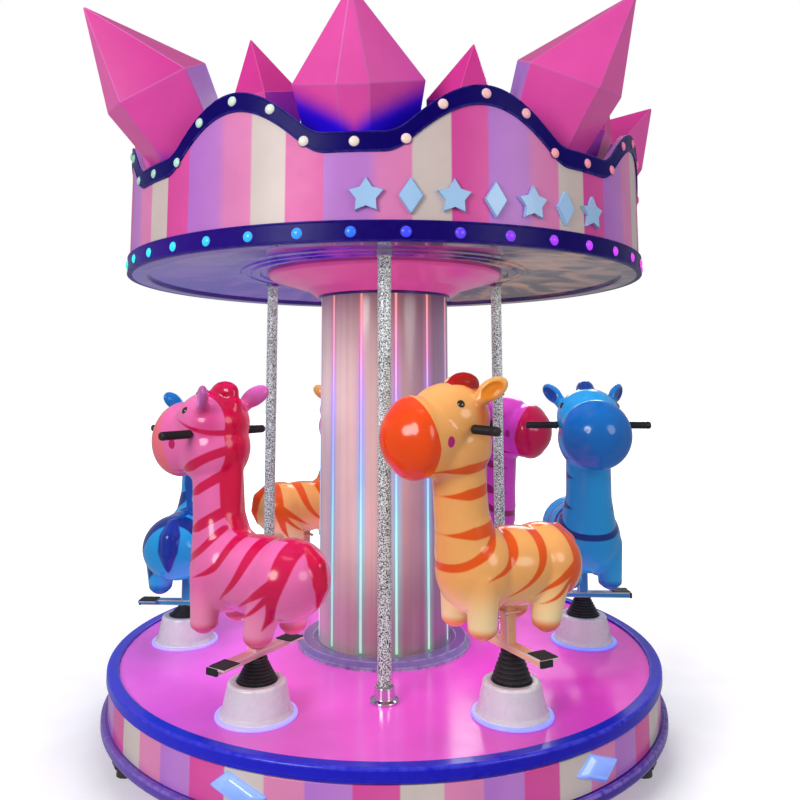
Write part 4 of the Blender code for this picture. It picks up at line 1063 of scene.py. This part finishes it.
def paint_marks(mesh, coat, spots):
    """Marks each layer of the animal's paint, in millimetres inside its edge."""
    points = np.array([vert.co for vert in mesh.vertices])
    forward, side, height = points[:, 0], abs(points[:, 1]), points[:, 2]
    axis = np.interp(height, *NECK_AXIS)
    behind = (1 - (forward - axis) / np.maximum(np.hypot(forward - axis, side), 0.0001)) / 2
    flat = np.column_stack((forward, height))
    paths = SIDE_STRIPES + ([FACE_STRIPE] if coat["lean"] > 0.65 else [])
    stripe = np.max([path_cover(flat, path) for path in paths], axis=0)
    for middle, half in NECK_STRIPES:
        width = half * np.clip(coat["wrap"] + (behind - 0.10) / 0.42, -1, 1)
        cover = np.minimum(width - abs(height - middle - coat["lean"] * 0.085 * behind ** 1.5), forward - 0.055)
        stripe = np.maximum(stripe, 1000 * cover)
    mane = 0.030 + 0.030 * np.clip((height - 0.36) / 0.10, 0, 1)
    leaf = np.interp(height, (0.150, 0.185, 0.250, 0.310, 0.350, 0.375), (-0.010, 0.014, 0.040, 0.042, 0.026, -0.010))
    # Painted shade round the nape behind the ears.
    nape = np.linalg.norm(np.column_stack((forward - 0.160, side - 0.100, (height - 0.745) * 0.7)), axis=1)
    ear, cheek = np.full(len(points), -1.0), np.full(len(points), -50.0)
    for way, spot in zip((-1, 1), spots):
        ear = np.maximum(ear, 1.15 - np.linalg.norm(in_ear(points, way) / EAR_RADII, axis=1))
        away = (points - np.array(spot)) / (0.014, 0.014, 0.018)
        cheek = np.maximum(cheek, 15 * (1 - np.linalg.norm(away, axis=1)))
    for layer, cover in (
            ("stripe", stripe), ("ear", 25 * ear), ("cheek", cheek),
            ("belly", (0.165 - height) * 1000), ("hoof", (0.084 - height) * 1000), ("nape_shade", 1000 * (0.044 - nape)),
            ("mane", 1000 * np.min([mane - side, axis - 0.030 - forward, height - 0.368, 0.87 - height], axis=0)),
            ("tuft", 1000 * np.min([height - 0.829, 0.046 - side, 0.25 - forward], axis=0)),
            ("tail", 1000 * np.minimum(leaf - side, -0.14 - forward)),
            ("snout", 1000 * (forward - 0.338 - 0.30 * np.maximum(0.0, height - 0.65)))):
        mark(mesh, layer, cover)


def footrest_steel():
    """The footrest's bar, post and trays, and the plate under the belly."""
    bm = bmesh.new()
    add_block(bm, (-0.012, -0.192, -0.020), (0.032, 0.192, 0.0))
    add_block(bm, (-0.008, -0.020, -0.012), (0.030, 0.020, 0.180), 0.004)
    for side in (-1, 1):
        near, far = sorted((side * 0.120, side * 0.195))
        add_block(bm, (-0.040, near, -0.005), (0.029, far, 0.0015), 0.0015)
    add_block(bm, (-0.022, -0.034, 0.098), (0.044, 0.034, 0.104), 0.0015)
    return evened(closed_mesh(bm))


def tread_studs():
    """Raised studs set crosswise on both treads."""
    spots = []
    for side in (-1, 1):
        for row in range(6):
            for column in range(6):
                lie = (1, 1, 0) if (row + column) % 2 else (1, -1, 0)
                spots.append(((-0.035 + 0.0118 * row, side * (0.1275 + 0.0120 * column), 0.0046), (0, 0, 1), lie))
    return grown(DOMES, dots(spots), length=0.0050, width=0.0018, rise=0.0012, segments=8, material=tread_rubber)


def fold_bellows(bottom, top):
    """Rubber bellows with rounded folds that narrow upwards."""
    corners = [(0.020, bottom), (0.068, bottom, 0.001), (0.068, bottom + 0.002, 0.001)]
    folds = 7
    pitch = (top - bottom - 0.005) / folds
    for fold in range(folds):
        share = fold / (folds - 1)
        crest = 0.066 + share * (0.036 - 0.066)
        foot = bottom + 0.002 + pitch * fold
        corners += [(crest - 0.007, foot + 0.12 * pitch, 0.0008), (crest, foot + 0.55 * pitch, 0.0012)]
    corners += [(0.029, top - 0.003, 0.001), (0.033, top - 0.002, 0.0008), (0.033, top), (0.020, top)]
    return mark_edges(turned(corners, SMALL_SIDES, 3), 40.0)


def handlebar_parts():
    """The handlebar's tube with its two grips, and the places of the grips' ribs, along Y."""
    half = 0.250
    tube = turned([(0, -half), (0.0135, -half, 0.006), (0.0150, -half + 0.014, 0.004), (0.0135, -half + 0.018, 0.002),
                   (0.0135, -0.135, 0.002), (0.0150, -0.131, 0.002), (0.0150, -0.124, 0.002), (0.0110, -0.122, 0.001),
                   (0.0110, 0.122, 0.001), (0.0150, 0.124, 0.002), (0.0150, 0.131, 0.002), (0.0135, 0.135, 0.002),
                   (0.0135, half - 0.018, 0.002), (0.0150, half - 0.014, 0.004), (0.0135, half, 0.006),
                   (0, half)], 40)
    lay = Matrix.Translation((GRIP_PLACE[0], 0, GRIP_PLACE[1])) @ Matrix.Rotation(-math.pi / 2, 4, "X")
    spots = [((GRIP_PLACE[0], side * (0.141 + 0.0061 * rib), GRIP_PLACE[1]), (0, 1, 0), (1, 0, 0))
             for side in (-1, 1) for rib in range(15)]
    return moved(tube, lay), grown(RINGS, dots(spots), ring_radius=0.0132, wire_radius=0.0015, material=grip_rubber)


def make_lift(number, azimuth, lift):
    """One rider's cone with its light ring, and the bellows that stretch from the cone to the footrest bar."""
    spot = Matrix.Translation(polar(azimuth, RIDER_CIRCLE_R, DECK))
    cone = turned([(0.0130, 0.0095), (0.1215, 0.0095, 0.0015), (0.1215, 0.0140, 0.0015), (0.1130, 0.0230, 0.006),
                   (0.0945, 0.1100, 0.0110), (0.0720, 0.1100, 0.0010), (0.0710, 0.1080), (0.0130, 0.1080)],
                  SMALL_SIDES * 2, 6)
    piece("cone_shell_%d" % number, moved(mark_edges(cone, 30.0), spot), "turntable", cone_plastic,
          slot="lift_cone", stands_for=["lift_cone_%d" % number])
    ring = turned([(0.1050, 0.0003), (0.1350, 0.0003, 0.002), (0.1345, 0.0100, 0.005), (0.1050, 0.0100)],
                  SMALL_SIDES * 2, 6)
    piece("cone_light_%d" % number, moved(ring, spot), "turntable", ring_light)
    top = BAR_TOP_LOWEST - 0.0203 + lift
    rubber = piece("bellows_folds_%d" % number, moved(fold_bellows(0.1083, top), spot), None, bellows_rubber,
                   slot="bellows", stands_for=["bellows_%d" % number])
    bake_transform(rubber)


def make_riders():
    skin = animal_skin()
    points = np.array([vert.co for vert in skin.vertices])
    lining = hollow_ears(points)
    skin.vertices.foreach_set("co", points.astype(np.float32).ravel())
    skin.update()
    mark(skin, "lining", lining)
    tree = BVHTree.FromPolygons([vert.co for vert in skin.vertices], [list(face.vertices) for face in skin.polygons])
    cheeks = [side_hit(tree, CHEEK_PLACE, side)[0] for side in (-1, 1)]
    eyes = [side_hit(tree, EYE_PLACE, side) for side in (-1, 1)]
    eyes = grown(DOMES, dots([(spot - 0.002 * normal, normal, (0, 0, 1)) for spot, normal in eyes]),
                 length=0.0134, width=0.0134, rise=0.0076, segments=24, material=eye_gloss)
    skins = {}
    for name, coat in COATS.items():
        skins[name] = skin.copy()
        paint_marks(skins[name], coat, cheeks)
    steel, studs, (tube, ribs) = footrest_steel(), tread_studs(), handlebar_parts()
    mats, caps = bmesh.new(), bmesh.new()
    for side in (-1, 1):
        near, far = sorted((side * 0.122, side * 0.193))
        add_block(mats, (-0.038, near, 0.0010), (0.027, far, 0.0046), 0.001)
        near, far = sorted((side * 0.190, side * 0.200))
        add_block(caps, (-0.013, near, -0.0208), (0.033, far, 0.0008), 0.002)
    mats, caps = evened(closed_mesh(mats)), evened(closed_mesh(caps))
    rod = turned([(0, -0.180), (0.012, -0.180, 0.002), (0.012, -0.018), (0, -0.018)], 32)
    bolts = dots([((x, y, 0.0975), (0, 0, -1), (1, 0, 0)) for x in (-0.014, 0.036) for y in (-0.026, 0.026)])
    bolts = grown(DOMES, bolts, length=0.006, width=0.006, rise=0.005, segments=12, material=chrome)
    for number, (azimuth, lift, coat) in RIDERS.items():
        body = "rider_%d" % number
        turn = Matrix.Rotation(math.radians(azimuth - 90.0 - RIDER_TOE_IN), 4, "Z")
        place = Matrix.Translation(polar(azimuth, RIDER_CIRCLE_R, DECK + BAR_TOP_LOWEST + lift)) @ turn
        slot = "pink" if coat == "magenta" else coat
        for name, mesh, finishes, more in (
                ("animal_skin", skins[coat], [coat_paint[coat]],
                 {"slot": "animal_" + slot, "stands_for": ["animal_%d" % number], "sharp": 80}),
                ("animal_eyes", eyes, [], {}),
                ("handlebar_tube", tube, [grip_rubber],
                 {"slot": "handlebar", "stands_for": ["handlebar_%d" % number]}),
                ("handlebar_ribs", ribs, [], {}),
                ("footrest_steel", steel, [steel_paint[coat], steel_edge],
                 {"slot": "footrest_" + slot, "stands_for": ["footrest_%d" % number], "smooth": False}),
                ("tread_mats", mats, [tread_rubber, grip_rubber], {"smooth": False}), ("tread_studs", studs, [], {}),
                ("bar_caps", caps, [cap_plastic, grip_rubber], {"smooth": False}), ("lift_rod", rod, [chrome], {}),
                ("belly_bolts", bolts, [], {})):
            piece("%s_%d" % (name, number), moved(mesh.copy(), place), body, *finishes, **more)
        make_lift(number, azimuth, lift)


# Stage, light and camera

def make_stage():
    floor = bmesh.new()
    bmesh.ops.create_circle(floor, cap_ends=True, segments=96, radius=30.0)
    ground = bpy.data.objects.new("floor", closed_mesh(floor))
    bpy.context.scene.collection.objects.link(ground)
    paint = finish("matt_pale_floor", "#F8F8FA", 0.7, Emission_Color="#FFFFFF")
    place = add_node(paint.node_tree, "ShaderNodeTexCoord")["Object"]
    away = add_node(paint.node_tree, "ShaderNodeVectorMath", {0: place}, operation="LENGTH")["Value"]
    glow = add_node(paint.node_tree, "ShaderNodeMapRange", {"Value": away, "From Min": -0.6, "From Max": 5.0},
                    interpolation_type="SMOOTHSTEP")
    paint.node_tree.links.new(glow[0], paint.node_tree.nodes["Principled BSDF"].inputs["Emission Strength"])
    ground.data.materials.append(paint)
    ground.visible_diffuse = False
    ground.visible_glossy = False
    world = bpy.data.worlds.new("studio")
    world.use_nodes = True
    world.node_tree.nodes.clear()
    backdrop = add_node(world.node_tree, "ShaderNodeBackground", {"Color": "#FFFFFF", "Strength": 1.0})
    room = add_node(world.node_tree, "ShaderNodeBackground", {"Color": "#F4F2FA", "Strength": 0.40})
    seen = add_node(world.node_tree, "ShaderNodeLightPath")["Is Camera Ray"]
    sky = add_node(world.node_tree, "ShaderNodeMixShader", {0: seen, 1: room[0], 2: backdrop[0]})
    add_node(world.node_tree, "ShaderNodeOutputWorld", {"Surface": sky[0]})
    bpy.context.scene.world = world
    under_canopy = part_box("ceiling_panel")[0].z - 0.02
    for name, place, size, power, spread in (
            ("key", (-3.2, -4.8, 3.2), 2.6, 180, 180), ("fill", (4.2, -4.2, 2.8), 2.6, 66, 180),
            ("back", (1.5, 5.0, 4.0), 3.0, 80, 180), ("top", (0.0, -1.0, 6.0), 3.0, 45, 180),
            ("under_canopy", (0.0, 0.0, under_canopy), 2.0, 14, 100),
            ("over_deck", (0.0, 0.0, DECK + 0.01), 1.9, 6, 100)):
        light = bpy.data.lights.new(name, "AREA")
        light.shape, light.size, light.energy, light.spread = "DISK", size, power, math.radians(spread)
        lamp = bpy.data.objects.new(name, light)
        lamp.location = place
        lamp.rotation_euler = (Vector((0, 0, 1.2)) - Vector(place)).to_track_quat("-Z", "Y").to_euler()
        lamp.visible_camera = False
        lamp.visible_glossy = spread == 180
        bpy.context.scene.collection.objects.link(lamp)


def make_camera():
    """The camera at the photograph's viewing place, worked out for an image of 800 by 800."""
    lens = bpy.data.cameras.new("camera")
    lens.sensor_width = 36.0
    lens.lens = 772.8 / 800 * 36.0
    lens.shift_x = (400 - 384.4) / 800
    lens.shift_y = (296 - 400) / 800
    camera = bpy.data.objects.new("camera", lens)
    camera.location = (0.0, -3.3868, 1.0856 + DECK)
    camera.rotation_euler = (math.pi / 2 + 0.1092, 0.0, 0.0)
    bpy.context.scene.collection.objects.link(camera)
    bpy.context.scene.camera = camera


make_base()
make_deck()
make_column()
make_poles()
make_canopy()
make_crown()
make_crystals()
make_roof()
make_riders()
make_stage()
make_camera()
bpy.context.scene.view_settings.view_transform = "Standard"
